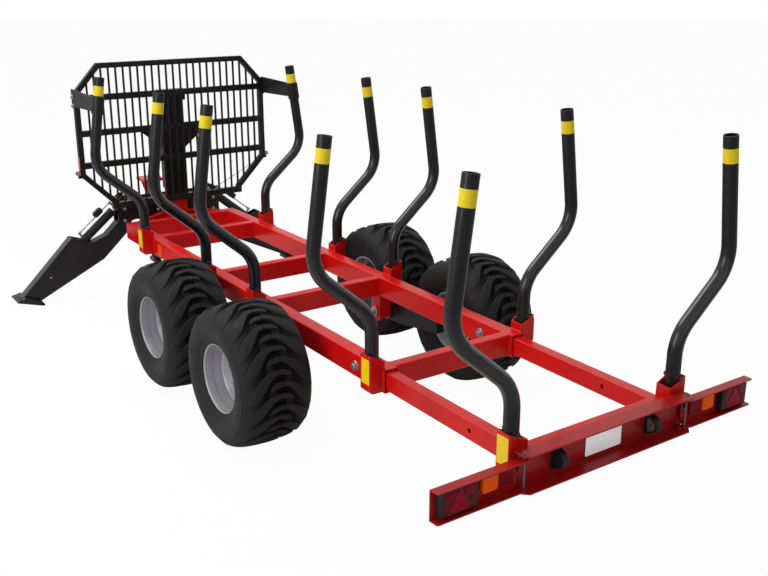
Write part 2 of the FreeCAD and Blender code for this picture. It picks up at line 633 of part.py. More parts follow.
# ---------------------------------------------------------------- drawbar
def drawbar():
    """Box-section bar that falls from the pivot boss to the tow eye."""
    x0 = DRAW_X
    x1 = DRAW_X + DRAW_LEN - 80
    side = prism_xz([(x0, DRAW_Z - 90), (x0 + 200, DRAW_Z - 90), (x1, EYE_Z - 60), (x1, EYE_Z + 60),
                     (x0 + 250, DRAW_Z + 80), (x0, DRAW_Z + 80)], -75, 75)
    plan = prism_xy([(x0, -75), (x0 + 250, -75), (x1, -50), (x1, 50), (x0 + 250, 75), (x0, 75)],
                    EYE_Z - 100, DRAW_Z + 120)
    bar = side.common(plan)
    boss = rod((x0, 0, DRAW_Z - 110), (0, 0, 1), 75, 220)
    tip = STEER_ARM + 35
    plan = [(x0 - 40, tip), (x0 + 40, tip), (x0 + 80, 60), (x0 - 50, 40)]
    ears = [prism_xy(plan, z, z + 20) for z in (STEER_Z + 25, STEER_Z - 45)]
    body = fuse([bar, boss] + both(ears[0]) + both(ears[1]))
    return body.cut(rod((x0, 0, DRAW_Z - 120), (0, 0, 1), DRAW_PIN_R + FIT, 240))


def tow_eye():
    x = DRAW_X + DRAW_LEN
    ring = rod((x, 0, EYE_Z - 20), (0, 0, 1), EYE_RING_R, 40)
    shank = rod((x - 80, 0, EYE_Z), (1, 0, 0), 32, 50)
    flange = box(x - 80, x - 60, -50, 50, EYE_Z - 60, EYE_Z + 60)
    body = fuse([ring, shank, flange])
    return body.cut(rod((x, 0, EYE_Z - 30), (0, 0, 1), EYE_BORE_R, 60))


def steer_line():
    ax, ay = STEER_BASE
    ex, ey = DRAW_X, STEER_ARM
    length = math.hypot(ex - ax, ey - ay)
    return (ax, ay), ((ex - ax) / length, (ey - ay) / length), length


def steer_barrel():
    (x, y), (dx, dy), length = steer_line()
    tube = rod((x + dx * 50, y + dy * 50, STEER_Z), (dx, dy, 0), STEER_R, 355)
    neck = rod((x, y, STEER_Z), (dx, dy, 0), STEER_ROD_R, 60)
    eye = rod((x, y, STEER_Z - 22), (0, 0, 1), 32, 44)
    body = fuse([tube, neck, eye]).cut(rod((x, y, STEER_Z - 30), (0, 0, 1), 18 + FIT, 60))
    return body.cut(rod((x + dx * 80, y + dy * 80, STEER_Z), (dx, dy, 0), STEER_ROD_R + FIT, 400))


def steer_rod():
    (x, y), (dx, dy), length = steer_line()
    shaft = rod((x + dx * 190, y + dy * 190, STEER_Z), (dx, dy, 0), STEER_ROD_R, length - 190)
    eye = rod((x + dx * length, y + dy * length, STEER_Z - 22), (0, 0, 1), 30, 44)
    return fuse([shaft, eye])


# ---------------------------------------------------------------- rear extension and lights
def extension_frame():
    parts = []
    for side in (1, -1):
        y0 = BEAM_Y * side - EXT_W / 2.0
        parts.append(box_tube(REAR_BUNK_X + 20, EXT_FRONT_X, y0, y0 + EXT_W, EXT_TOP - EXT_H, EXT_TOP,
                              EXT_WALL, 8.0))
    out = BEAM_Y + EXT_W / 2.0
    parts.append(cross_beam(REAR_BUNK_X, out, EXT_TOP, EXT_H + CROSS_STEP, 2 * SOCKET_HALF))
    parts.extend(both(socket(REAR_BUNK_X, EXT_TOP, out)))
    body = fuse(parts)
    for side in (1, -1):
        body = body.cut(rod((LOCK_X - SLIDE_TRAVEL, BEAM_Y * side - EXT_W, BEAM_TOP - BEAM_H / 2.0),
                            (0, 1, 0), 13, EXT_W * 2))
    return body


def light_bar():
    """Folded channel open to the rear, carrying the wing hinge pins."""
    t = 8.0
    web = box(BAR_FRONT_X - t, BAR_FRONT_X, -BAR_HALF + 30, BAR_HALF - 30, BAR_BOTTOM, BAR_TOP)
    flange = [(BAR_FRONT_X, -BAR_HALF), (BAR_FRONT_X, BAR_HALF), (BAR_REAR_X + 30, BAR_HALF),
              (BAR_REAR_X, BAR_HALF - 30), (BAR_REAR_X, -BAR_HALF + 30), (BAR_REAR_X + 30, -BAR_HALF)]
    top = prism_xy(flange, BAR_TOP - t, BAR_TOP)
    bottom = prism_xy(flange, BAR_BOTTOM, BAR_BOTTOM + t)
    x, y = WING_PIN
    pins = both(rod((x, y, BAR_BOTTOM - 8), (0, 0, 1), WING_PIN_R, BAR_TOP - BAR_BOTTOM + 16))
    return fuse([web, top, bottom] + pins)


def light_wing():
    """Folded lamp bracket whose flanges turn on the long pin at its inner end."""
    x, y = WING_PIN
    t = 6.0
    web = box(x + 24, x + 30, y + 26, WING_END, WING_BOTTOM, WING_TOP)
    flange = [(x + 30, y + 26), (x + 30, WING_END), (x - 25, WING_END - 4), (x - 29, WING_END - 14),
              (x - 29, y + 26), (x - 16, y - 16), (x + 16, y - 16)]
    top = prism_xy(flange, WING_TOP - t, WING_TOP)
    bottom = prism_xy(flange, WING_BOTTOM, WING_BOTTOM + t)
    body = fuse([web, top, bottom])
    for z in (WING_TOP - t, WING_BOTTOM):
        body = body.cut(rod((x, y, z - 1), (0, 0, 1), WING_PIN_R + FIT, t + 2))
    return body


def tail_lamps():
    """Combination lamp at the outer end, then the indicator and the fog lamp."""
    x = WING_PIN[0] + 24
    outer = WING_END - 32
    low, high = WING_BOTTOM + 18, WING_TOP - 8
    main = box(x - 40, x, outer - 218, outer, low, high)
    corners = [e for e in main.Edges if e.tangentAt(0).cross(V(1, 0, 0)).Length < 1e-6]
    main = main.makeFillet(12, corners)
    amber = box(x - 20, x, outer - 360, outer - 262, low + 32, high - 13)
    red = box(x - 12, x, outer - 460, outer - 366, low + 30, high - 24)
    return [main, amber, red]


# ---------------------------------------------------------------- write every piece
def main():
    write("main_beams", main_beams())
    write("cross_beams", cross_beams())
    write("stake_sockets", stake_sockets())
    stakes = []
    for x in BUNK_X:
        stakes.extend(both(stake(x)))
    write("stakes", stakes)
    write("bogie_hangers", both(bogie_hanger()))
    write("headboard_frame", headboard_frame())
    write("headboard_bars", headboard_bars())
    write("headboard_arms", both(headboard_arms()))
    write("headboard_column", headboard_column())
    write("front_subframe", front_subframe())
    write("crane_base", crane_base())
    write("stabiliser_housing", housing())
    write("extension_frame", extension_frame())
    write("rear_stakes", both(stake(REAR_BUNK_X)))
    write("light_bar", light_bar())
    sided = {"light_wing": light_wing, "bogie": bogie, "leg": leg, "leg_barrel": leg_barrel,
             "leg_rod": leg_rod, "steer_barrel": steer_barrel, "steer_rod": steer_rod}
    for name, make in sided.items():
        shape = make()
        write(name + "_left", shape)
        write(name + "_right", mirror(shape))
    lamps = tail_lamps()
    write("tail_lamps_left", lamps)
    write("tail_lamps_right", [mirror(s) for s in lamps])
    for place, x in (("front", BOGIE_SPREAD), ("rear", -BOGIE_SPREAD)):
        for name, make in (("tyre", tyre), ("rim", rim), ("hub", hub)):
            shape = make(x)
            write(name + "_" + place + "_left", shape)
            write(name + "_" + place + "_right", mirror(shape))
    write("drawbar", drawbar())
    write("tow_eye", tow_eye())


main()
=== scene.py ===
"""Looks of a two-beam timber trailer: each section dresses the pieces in the order they are put together."""
import math

import bmesh
import bpy
from bmesh.types import BMEdge, BMFace, BMVert
from mathutils import Matrix, Vector


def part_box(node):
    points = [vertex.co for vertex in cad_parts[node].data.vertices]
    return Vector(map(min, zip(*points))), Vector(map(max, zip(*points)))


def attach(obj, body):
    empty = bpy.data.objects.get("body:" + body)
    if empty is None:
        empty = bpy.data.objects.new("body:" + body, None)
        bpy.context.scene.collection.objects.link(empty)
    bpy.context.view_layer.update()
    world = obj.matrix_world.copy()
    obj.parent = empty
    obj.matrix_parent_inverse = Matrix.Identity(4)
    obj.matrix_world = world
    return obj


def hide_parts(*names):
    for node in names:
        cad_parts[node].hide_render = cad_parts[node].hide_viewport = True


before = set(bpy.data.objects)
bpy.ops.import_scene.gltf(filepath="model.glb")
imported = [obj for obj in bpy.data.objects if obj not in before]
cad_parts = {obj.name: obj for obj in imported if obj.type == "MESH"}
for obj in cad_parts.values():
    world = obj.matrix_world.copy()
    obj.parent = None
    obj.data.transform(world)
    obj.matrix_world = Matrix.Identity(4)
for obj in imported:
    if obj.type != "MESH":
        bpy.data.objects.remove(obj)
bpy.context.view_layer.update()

# ---------------------------------------------------------------- camera, floor and lamps
# The trailer stands on a pale studio floor, seen from behind, above and to its left.
# One large soft lamp hangs overhead, and two weaker ones fill its left side and its tail.
camera = bpy.data.objects.new("camera", bpy.data.cameras.new("camera"))
camera.location = (-6.6407, 3.5017, 2.9476)
camera.rotation_euler = [math.radians(a) for a in (72.987, 0.009, -124.476)]
camera.data.lens = 45.26
camera.data.sensor_width = 36.0
camera.data.shift_x, camera.data.shift_y = 0.0024, -0.026
bpy.context.scene.collection.objects.link(camera)
bpy.context.scene.camera = camera
bpy.context.scene.view_settings.view_transform = "Standard"


def hang_lamp(name, place, target, size, power):
    lamp = bpy.data.objects.new(name, bpy.data.lights.new(name, "AREA"))
    lamp.data.shape, lamp.data.size, lamp.data.energy = "DISK", size, power
    lamp.location = place
    lamp.rotation_euler = (Vector(place) - Vector(target)).to_track_quat("Z", "Y").to_euler()
    bpy.context.scene.collection.objects.link(lamp)


hang_lamp("overhead_lamp", (2.0, 1.5, 8.0), (0.4, 0, 0.6), 6.0, 520)
hang_lamp("left_lamp", (-2.5, 8.0, 4.0), (0, 0, 0.6), 5.0, 330)
hang_lamp("tail_lamp", (-10.0, -1.5, 3.5), (-1, 0, 0.6), 4.0, 12)


class Socket:
    """One output in a material's node tree; arithmetic on it adds Math nodes."""

    def __init__(self, tree, link=None):
        self.tree, self.link = tree, link

    def node(self, kind, settings=None, inputs=None, output=0):
        made = self.tree.nodes.new(kind)
        for name, value in (settings or {}).items():
            setattr(made, name, value)
        for name, value in (inputs or {}).items():
            if isinstance(value, Socket):
                self.tree.links.new(value.link, made.inputs[name])
            else:
                made.inputs[name].default_value = value
        return Socket(self.tree, made.outputs[output])

    def math(self, operation, *values):
        return self.node("ShaderNodeMath", {"operation": operation}, dict(enumerate(values)))

    def __add__(self, other):
        return self.math("ADD", self, other)

    def __sub__(self, other):
        return self.math("SUBTRACT", self, other)

    def __rsub__(self, other):
        return self.math("SUBTRACT", other, self)

    def __mul__(self, other):
        return self.math("MULTIPLY", self, other)

    def __gt__(self, other):
        return self.math("GREATER_THAN", self, other)

    def __lt__(self, other):
        return self.math("LESS_THAN", self, other)

    def __abs__(self):
        return self.math("ABSOLUTE", self)

    __radd__, __rmul__ = __add__, __mul__

    def step(self, low, high):
        """0 below low, 1 above high, and smooth between."""
        return self.node("ShaderNodeMapRange", {"interpolation_type": "SMOOTHSTEP"},
                         {"Value": self, "From Min": low, "From Max": high})

    def mix(self, before, after):
        """The first colour where this is 0, the second where it is 1."""
        return self.node("ShaderNodeMix", {"data_type": "RGBA"}, {0: self, 6: before, 7: after}, 2)

    def noise(self, scale, detail=3.0, where=None, roughness=0.5):
        where = where or self.node("ShaderNodeTexCoord", output="Object")
        return self.node("ShaderNodeTexNoise", None, {"Vector": where, "Scale": scale, "Detail": detail,
                                                      "Roughness": roughness})

    def cells(self, scale):
        """Distance to the nearest wall in a pattern of cells."""
        return self.node("ShaderNodeTexVoronoi", {"feature": "DISTANCE_TO_EDGE"}, {"Scale": scale}, "Distance")

    def place(self, axis):
        """One of the three Object coordinates, in metres."""
        where = self.node("ShaderNodeTexCoord", output="Object")
        return self.node("ShaderNodeSeparateXYZ", None, {0: where}, axis)

    def bump(self, distance, strength=1.0):
        return self.node("ShaderNodeBump", None, {"Height": self, "Distance": distance,
                                                  "Strength": strength})

    def into(self, shader, name):
        self.tree.links.new(self.link, shader.inputs[name])


def colour(red, green, blue):
    """A screen colour, 0 to 255, as Blender's linear one."""
    linear = [c / 255 / 12.92 if c < 11 else ((c / 255 + 0.055) / 1.055) ** 2.4
              for c in (red, green, blue)]
    return (*linear, 1.0)


def finish(name, **constants):
    """A new material: itself, its shader, and a start for its patterns."""
    material = bpy.data.materials.new(name)
    material.use_nodes = True
    shader = material.node_tree.nodes["Principled BSDF"]
    for socket, value in constants.items():
        shader.inputs[socket.replace("_", " ")].default_value = value
    return material, shader, Socket(material.node_tree)


studio = bpy.data.worlds.new("studio")
bpy.context.scene.world = studio
studio.use_nodes = True
backdrop = studio.node_tree.nodes["Background"]
backdrop.inputs["Color"].default_value = (1, 1, 1, 1)
sky = Socket(studio.node_tree)
seen = [sky.node("ShaderNodeLightPath", output=ray)
        for ray in ("Is Camera Ray", "Is Glossy Ray", "Is Transmission Ray")]
shown = seen[0].math("MAXIMUM", seen[0], seen[1].math("MAXIMUM", seen[1], seen[2]))
(shown * 0.58 + 0.42).into(backdrop, "Strength")

floor_finish, floor_shader, pattern = finish("floor", Roughness=0.9)
floor_shader.inputs["Specular IOR Level"].default_value = 0.0
pattern.noise(3.0).mix(colour(222, 222, 222), colour(226, 226, 226)).into(floor_shader, "Base Color")
light = pattern.node("ShaderNodeLightPath", output="Is Camera Ray")
glow = pattern.node("ShaderNodeEmission", None, {"Strength": 1.0})
out = floor_finish.node_tree.nodes["Material Output"]
lit = Socket(floor_finish.node_tree, floor_shader.outputs[0])
pattern.node("ShaderNodeMixShader", None, {0: light * 0.96, 1: lit, 2: glow}).into(out, "Surface")

floor = bpy.data.objects.new("floor", bpy.data.meshes.new("floor"))
bm = bmesh.new()
bmesh.ops.create_circle(bm, cap_ends=True, segments=96, radius=60.0)
bm.to_mesh(floor.data)
bm.free()
floor.data.materials.append(floor_finish)
bpy.context.scene.collection.objects.link(floor)

# ---------------------------------------------------------------- bed: main beams and bunk beams
# Two rolled box tubes run the length of the bed, and cross tubes are welded between them.
# Everything is shot-blasted and finished in gloss red enamel, sprayed after welding.
FRAME, TAIL = "frame", "extension"


def enamel(name, bright, deep, edge_chip_and_sheen, gloss, chips):
    """Sprayed enamel: slow drift of tone, orange-peel skin, dust above, and a painted highlight along every
    corner with chips in it.
    """
    material, shader, start = finish(name, Coat_Roughness=0.12, Specular_IOR_Level=0.16)
    facing = start.node("ShaderNodeNewGeometry", output="Normal")
    eased = start.node("ShaderNodeBevel", {"samples": 4}, {"Radius": 0.005})
    flat = start.node("ShaderNodeVectorMath", {"operation": "DOT_PRODUCT"}, {0: eased, 1: facing}, "Value")
    corner = (1 - flat).step(0.02, 0.22)
    up = start.node("ShaderNodeSeparateXYZ", None, {0: facing}, 2).step(0.6, 1.0)
    drift = start.noise(1.7, 4.0).step(0.3, 0.7)
    grime = start.noise(9.0, 6.0, roughness=0.65).step(0.5, 0.78)
    fleck = start.noise(140.0, 2.0).step(0.6, 0.72)
    tone = drift.mix(bright, deep)
    dusty = (up * grime * 0.10).mix(tone, colour(176, 160, 150))
    # Every corner is painted 30% of the way to a lighter tone, a painted edge highlight; the flecks added to it
    # are chips.
    chipped_and_sheened = (corner * (0.30 + fleck * chips)).mix(dusty, edge_chip_and_sheen)
    chipped_and_sheened.into(shader, "Base Color")
    (gloss + grime * 0.10 + up * 0.05 + start.noise(30.0) * 0.06 - corner * 0.05).into(shader, "Roughness")
    (0.12 - grime * 0.08).into(shader, "Coat Weight")
    peel = start.noise(420.0, 1.0) * 0.5 + start.noise(55.0, 3.0)
    peel.bump(0.0006, 0.12).into(shader, "Normal")
    return material


red_enamel = enamel("red_enamel", colour(198, 14, 12), colour(182, 11, 11), colour(214, 70, 60), 0.27, 0.35)


def show(name, mesh, body, material, replaced=(), smooth=30):
    """Puts a finished mesh in the scene, riding on its body."""
    piece = bpy.data.objects.new(name, mesh)
    bpy.context.scene.collection.objects.link(piece)
    if material:
        mesh.materials.append(material)
    mesh.shade_smooth()
    mesh.set_sharp_from_angle(angle=math.radians(smooth))
    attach(piece, body)
    if replaced:
        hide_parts(*replaced)
    return piece


def dressed(node, name, body, material, edge=0.002, corner=35):
    """The node's own shape with its loose triangles joined and its plate edges eased."""
    bm = bmesh.new()
    bm.from_mesh(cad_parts[node].data)
    bmesh.ops.remove_doubles(bm, verts=bm.verts, dist=0.00005)
    bmesh.ops.dissolve_limit(bm, angle_limit=math.radians(0.3), verts=bm.verts, edges=bm.edges)
    mesh = bpy.data.meshes.new(name)
    bm.to_mesh(mesh)
    bm.free()
    piece = show(name, mesh, body, material, [node])
    ease = piece.modifiers.new("eased", "BEVEL")
    ease.width, ease.segments, ease.limit_method = edge, 2, "ANGLE"
    ease.angle_limit = math.radians(corner)
    ease.use_clamp_overlap = True
    ease.harden_normals = True
    return piece


def soften(bm, edges, radius, segments):
    """Bevels edges with a round profile."""
    return bmesh.ops.bevel(bm, geom=list(edges), offset=radius, segments=segments, profile=0.5, affect="EDGES",
                           material=-1)


bunks, tail_bunk = (1.249, -0.018, -0.828, -2.295), -3.502
stake_y, socket_half = 0.591, 0.0525
stub_x, stub_z = -0.801, 0.445


def round_sockets(piece, places):
    """Rounds the upright corners where each socket's plate is folded round its stake."""
    bm = bmesh.new()
    bm.from_mesh(piece.data)
    lip = min(abs(v.co.y) for v in bm.verts if v.co.z > 0.75)
    for near, far, radius in ((0.622, 0.650, 0.013), (lip - 0.001, lip + 0.001, 0.0075)):
        folds = [e for e in bm.edges if abs(e.verts[0].co.z - e.verts[1].co.z) > 0.01
                 and all(near < abs(v.co.y) < far
                         and any(abs(abs(v.co.x - x) - socket_half) < 0.0005 for x in places) for v in e.verts)]
        soften(bm, folds, radius, 5)
    bmesh.ops.recalc_face_normals(bm, faces=bm.faces)
    bm.to_mesh(piece.data)
    bm.free()


dressed("main_beams", "bed_beams", FRAME, red_enamel, 0.0015)
dressed("cross_beams", "bunk_beams", FRAME, red_enamel, 0.0015)
round_sockets(dressed("stake_sockets", "socket_plates", FRAME, red_enamel, 0.002), bunks)
hangers = dressed("bogie_hangers", "hanger_plates", FRAME, red_enamel, 0.002)
for v in hangers.data.vertices:
    across, up = v.co.x - stub_x, v.co.z - stub_z
    if abs(v.co.y) > 0.546 and math.hypot(across, up) < 0.047:
        v.co.x, v.co.z = stub_x + across * 0.955, stub_z + up * 0.955
dressed("front_subframe", "drawbar_head", FRAME, red_enamel, 0.002)
dressed("crane_base", "crane_pedestal", FRAME, red_enamel, 0.002)
round_sockets(dressed("extension_frame", "tail_frame", TAIL, red_enamel, 0.0015), (tail_bunk,))
dressed("drawbar", "drawbar_box", "drawbar_arm", red_enamel, 0.003)

# ---------------------------------------------------------------- weld beads
# Every joint in the bed is closed by a fillet weld, painted over with the rest.
# A bead is a thin six-sided run half sunk in its corner, and the enamel flows over it.


def of_kind(kind, geom):
    """The vertices, edges or faces among what an operator made."""
    return [g for g in geom if isinstance(g, kind)]


def edges_at(verts):
    """Every edge that ends at one of the vertices, once."""
    return list({e for v in verts for e in v.link_edges})


def bead_run(bm, start, end, size=0.006):
    """One weld bead along a straight inside corner."""
    start, end = Vector(start), Vector(end)
    along = end - start
    steps = max(2, int(along.length / 0.02))
    turn = along.to_track_quat("Z", "Y").to_matrix().to_4x4()
    ring = bmesh.ops.create_circle(bm, segments=6, radius=size, matrix=Matrix.Translation(start) @ turn)
    edges = edges_at(ring["verts"])
    for i in range(steps):
        grown = bmesh.ops.extrude_edge_only(bm, edges=edges)["geom"]
        edges = of_kind(BMEdge, grown)
        bmesh.ops.translate(bm, verts=of_kind(BMVert, grown), vec=along / steps)


def everything(bm):
    return bm.verts[:] + bm.edges[:] + bm.faces[:]


def mirrored(bm):
    """Adds the right-hand copy of everything drawn on the left, and returns its vertices."""
    verts = of_kind(BMVert, bmesh.ops.duplicate(bm, geom=everything(bm))["geom"])
    bmesh.ops.scale(bm, verts=verts, vec=(1, -1, 1))
    bmesh.ops.recalc_face_normals(bm, faces=bm.faces)
    return verts


def put(bm, name, body, material, replaced=(), smooth=30):
    """Turns a drawn shape into a piece of the scene."""
    mesh = bpy.data.meshes.new(name)
    bmesh.ops.recalc_face_normals(bm, faces=bm.faces)
    bm.to_mesh(mesh)
    bm.free()
    show(name, mesh, body, material, replaced, smooth)


beams_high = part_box("main_beams")[1]
bed_top, bed_side, beam_in = beams_high.z, beams_high.y, 0.445
bm = bmesh.new()
for x in (*bunks, 1.809):
    for side in (-0.040, 0.040):
        bead_run(bm, (x + side, beam_in, 0.592), (x + side, beam_in, bed_top - 0.012))
    bead_run(bm, (x - 0.036, beam_in, bed_top - 0.002), (x + 0.036, beam_in, bed_top - 0.002), 0.004)
for x in bunks:
    for side in (-socket_half, socket_half):
        bead_run(bm, (x + side, bed_side, 0.598), (x + side, bed_side, 0.724))
    bead_run(bm, (x - 0.05, 0.533, bed_top), (x + 0.05, 0.533, bed_top), 0.005)
mirrored(bm)
put(bm, "bed_welds", FRAME, red_enamel)

# ---------------------------------------------------------------- bolts
# Zinc-plated hexagon bolts on washers hold whatever is not welded: stakes, hangers and locks.
zinc, shader, start = finish("zinc_plate", Metallic=0.85)
dull = start.noise(60.0, 4.0).step(0.3, 0.75)
dull.mix(colour(176, 178, 182), colour(120, 122, 126)).into(shader, "Base Color")
(dull * 0.22 + 0.30).into(shader, "Roughness")
start.noise(900.0).bump(0.0003, 0.2).into(shader, "Normal")

blackened, shader, start = finish("blackened_steel", Metallic=0.4)
start.noise(50.0).mix(colour(34, 34, 36), colour(52, 50, 50)).into(shader, "Base Color")
(start.noise(35.0) * 0.3 + 0.3).into(shader, "Roughness")
start.noise(700.0).bump(0.0003, 0.2).into(shader, "Normal")


def rod(bm, radius, length, matrix, sides=16):
    """A plain round bar, or a prism with few sides, along its own Z."""
    return bmesh.ops.create_cone(bm, cap_ends=True, segments=sides, radius1=radius, radius2=radius, depth=length,
                                 matrix=matrix)["verts"]


def bolt(bm, place, facing, across=0.024, high=0.012):
    """A hexagon head with a chamfered top, on its washer."""
    washer = 0.003
    turn = Matrix.Translation(place) @ Vector(facing).to_track_quat("Z", "Y").to_matrix().to_4x4()
    bmesh.ops.create_cone(bm, cap_ends=True, segments=14, radius1=across * 0.92, radius2=across * 0.88,
                          depth=washer, matrix=turn @ Matrix.Translation((0, 0, washer / 2)))
    head = rod(bm, across * 0.577, high, turn @ Matrix.Translation((0, 0, washer + high / 2)), 6)
    upward = turn.to_3x3() @ Vector((0, 0, 1))
    hexagons = {f for v in head for f in v.link_faces if len(f.verts) == 6}
    crown = max(hexagons, key=lambda f: f.normal @ upward)
    soften(bm, crown.edges, high * 0.16, 1)


for name, body, places in (("stake_bolts", FRAME, bunks), ("rear_stake_bolts", TAIL, (tail_bunk,))):
    bm = bmesh.new()
    for x in places:
        for side in (-1, 1):
            bolt(bm, (x + side * 0.0405, stake_y, 0.828), (side, 0, 0), 0.021, 0.014)
    mirrored(bm)
    put(bm, name, body, blackened)

bm = bmesh.new()
for y in (0.545, -0.445):
    bolt(bm, (-2.041, y, 0.652), (0, 1, 0), 0.036, 0.018)
for side in (-1, 1):
    bolt(bm, (stub_x, 0.433 * side, stub_z), (0, -side, 0), 0.042, 0.024)
put(bm, "lock_bolts", FRAME, zinc)

# ---------------------------------------------------------------- stakes
# Five pairs of bent steel tube, dropped into their sockets and pinned by two bolts each.
# Grey-black paint, rubbed shinier on the bends and with a brownish reflection of the red bed painted on them,
# with a band of yellow tape below each open end.
STAKE_R, STAKE_WALL, BEND_R = 0.04125, 0.006, 0.240
tube_paint, shader, start = finish("stake_paint", Coat_Roughness=0.05, Specular_IOR_Level=0.2)
height, out = start.place(2), abs(start.place(1))
below_tip = (out - 0.88402) * -0.1386 + (height - 2.13) * 0.9903
band = (below_tip > -0.150) * (below_tip < -0.068)
edge = abs(abs(below_tip + 0.109) - 0.041) < 0.0012
streak = start.noise(6.0, 6.0, roughness=0.7).step(0.3, 0.75)
scuff_and_reflection = start.noise(38.0, 5.0, roughness=0.7).step(0.55, 0.8)
bent = (height - 0.9).step(0.0, 0.16) * (1.56 - height).step(0.0, 0.2)
tone = streak.mix(colour(24, 23, 25), colour(16, 16, 18))
# Brownish patches on the bends are a painted reflection of the red bed; the same noise also roughens the paint
# as scuffs.
tone = (scuff_and_reflection * 0.30 * bent).mix(tone, colour(84, 66, 56))
tone = (below_tip > -0.068).mix(tone, colour(17, 18, 20))
weave = start.cells(230.0)
tape = (weave.step(0.0, 0.12) * 0.7 + start.noise(5.0) * 0.3).mix(colour(205, 178, 20), colour(240, 214, 34))
band.mix(tone, edge.mix(tape, colour(150, 130, 20))).into(shader, "Base Color")
(0.36 - bent * 0.12 + streak * 0.08 + scuff_and_reflection * 0.10 + band * 0.08).into(shader, "Roughness")
(bent * 0.26 + 0.12 - band * 0.08).into(shader, "Coat Weight")
(start.noise(240.0, 2.0) * 0.5 + start.noise(26.0, 4.0)).bump(0.0008, 0.15).into(shader, "Normal")


def bent_tube(bm, x):
    """Drives a ring of the tube's edge up the left stake's line, spinning it round each bend."""
    corners = [Vector((x, stake_y, 0.612)), Vector((x, stake_y, 1.055)), Vector((x, 0.987, 1.394)),
               Vector((x, 0.884, 2.130))]
    runs = [(b - a).normalized() for a, b in zip(corners, corners[1:])]
    ring = bmesh.ops.create_circle(bm, segments=28, radius=STAKE_R, matrix=Matrix.Translation(corners[0]))
    edges = edges_at(ring["verts"])
    bmesh.ops.edgeloop_fill(bm, edges=edges)
    at = corners[0]
    for i, corner in enumerate(corners[1:]):
        turns = runs[i].angle(runs[i + 1]) if i < 2 else 0.0
        stop = corner - runs[i] * BEND_R * math.tan(turns / 2)
        grown = bmesh.ops.extrude_edge_only(bm, edges=edges)["geom"]
        bmesh.ops.translate(bm, verts=of_kind(BMVert, grown), vec=stop - at)
        edges = of_kind(BMEdge, grown)
        if i < 2:
            axis = runs[i].cross(runs[i + 1]).normalized()
            centre = stop + axis.cross(runs[i]) * BEND_R
            grown = bmesh.ops.spin(bm, geom=edges, cent=centre, axis=axis, angle=turns, steps=14)["geom_last"]
            edges = of_kind(BMEdge, grown)
            at = corner + runs[i + 1] * BEND_R * math.tan(turns / 2)
    rim = list({v for e in edges for v in e.verts})
    tip = sum((v.co for v in rim), Vector()) / len(rim)
    for inward, down in ((0.0012, 0.0), (STAKE_WALL - 0.0012, 0.0), (0.0, 0.055)):
        grown = bmesh.ops.extrude_edge_only(bm, edges=edges)["geom"]
        edges = of_kind(BMEdge, grown)
        for v in of_kind(BMVert, grown):
            v.co += (tip - v.co).normalized() * inward - runs[2] * down
    bmesh.ops.edgeloop_fill(bm, edges=edges)


for name, node, body, places in (("bent_stakes", "stakes", FRAME, bunks),
                                 ("bent_rear_stakes", "rear_stakes", TAIL, (tail_bunk,))):
    bm = bmesh.new()
    for x in places:
        bent_tube(bm, x)
    mirrored(bm)
    put(bm, name, body, tube_paint, [node], 50)

# ---------------------------------------------------------------- tyres
# Low-pressure flotation tyres: a moulded carcass with 19 swept lugs a side, half a pitch out of step
# across the middle, and a short block between each pair. Lugs melt into the sidewall past the shoulder, and
# painted shade darkens the groove bottoms.
TYRE_R, PITCHES, DEEPEST = 0.470, 19, 0.030
PITCH = 360.0 / PITCHES
rubber, shader, start = finish("tread_rubber", Specular_IOR_Level=0.1)
dust = start.noise(14.0, 6.0, roughness=0.7).step(0.35, 0.8)
broad = start.noise(2.2, 3.0)
sunken = start.node("ShaderNodeAttribute", {"attribute_name": "sunken"}, output="Fac")
tone = broad.mix(colour(33, 33, 34), colour(39, 38, 38))
tone = (dust * 0.35).mix(tone, colour(46, 43, 41))
# The floor of the tread pattern is painted near-black: painted shade in the grooves.
sunken.step(0.25, 0.85).mix(tone, colour(13, 13, 14)).into(shader, "Base Color")
(0.58 + dust * 0.2 - broad * 0.06 + sunken * 0.2).into(shader, "Roughness")
(start.noise(260.0, 4.0) * 0.6 + start.noise(45.0, 3.0)).bump(0.0012, 0.2).into(shader, "Normal")

# half of the outer section, from the middle of the tread to the bead: (across, radius)
OUTLINE = [(0.000, 0.4700), (0.040, 0.4692), (0.080, 0.4669), (0.120, 0.4632), (0.150, 0.4595),
           (0.175, 0.4550), (0.195, 0.4482), (0.212, 0.4385), (0.226, 0.4255), (0.237, 0.4090),
           (0.2400, 0.4020), (0.2372, 0.3995), (0.2402, 0.3965), (0.2450, 0.3890), (0.2485, 0.3700),
           (0.2500, 0.3480), (0.2480, 0.3250), (0.2420, 0.3000), (0.2345, 0.2810), (0.2300, 0.2720),
           (0.2275, 0.2700), (0.2200, 0.2530), (0.2145, 0.2370), (0.2105, 0.2300)]
# tread depth, and each lug's leading and trailing edges in degrees, against the distance round the section
DEPTH = [(0.0, DEEPEST), (0.060, 0.029), (0.108, 0.024), (0.133, 0.020), (0.158, 0.015), (0.183, 0.010),
         (0.203, 0.006), (0.233, 0.003), (0.258, 0.0015), (0.266, 0.0)]
LUG_LEAD = [(0.012, 0.0), (0.038, 0.2), (0.058, 0.7), (0.083, 2.0), (0.108, 4.0), (0.133, 6.0),
            (0.158, 8.6), (0.183, 11.6), (0.203, 15.0), (0.233, 19.5), (0.258, 24.0)]
LUG_TRAIL = [(0.012, 4.0), (0.038, 4.7), (0.058, 6.0), (0.083, 9.5), (0.108, 13.5), (0.133, 17.5),
             (0.158, 21.0), (0.183, 23.3), (0.203, 24.9), (0.233, 27.0), (0.258, 29.0)]
LEAD_HEIGHT = [(0.133, 1.0), (0.158, 0.95), (0.183, 0.75), (0.203, 0.3), (0.215, -0.06), (0.258, -0.1)]
BLOCK_LEAD = [(-0.012, 9.5), (0.028, 9.9), (0.058, 11.2), (0.076, 13.4)]
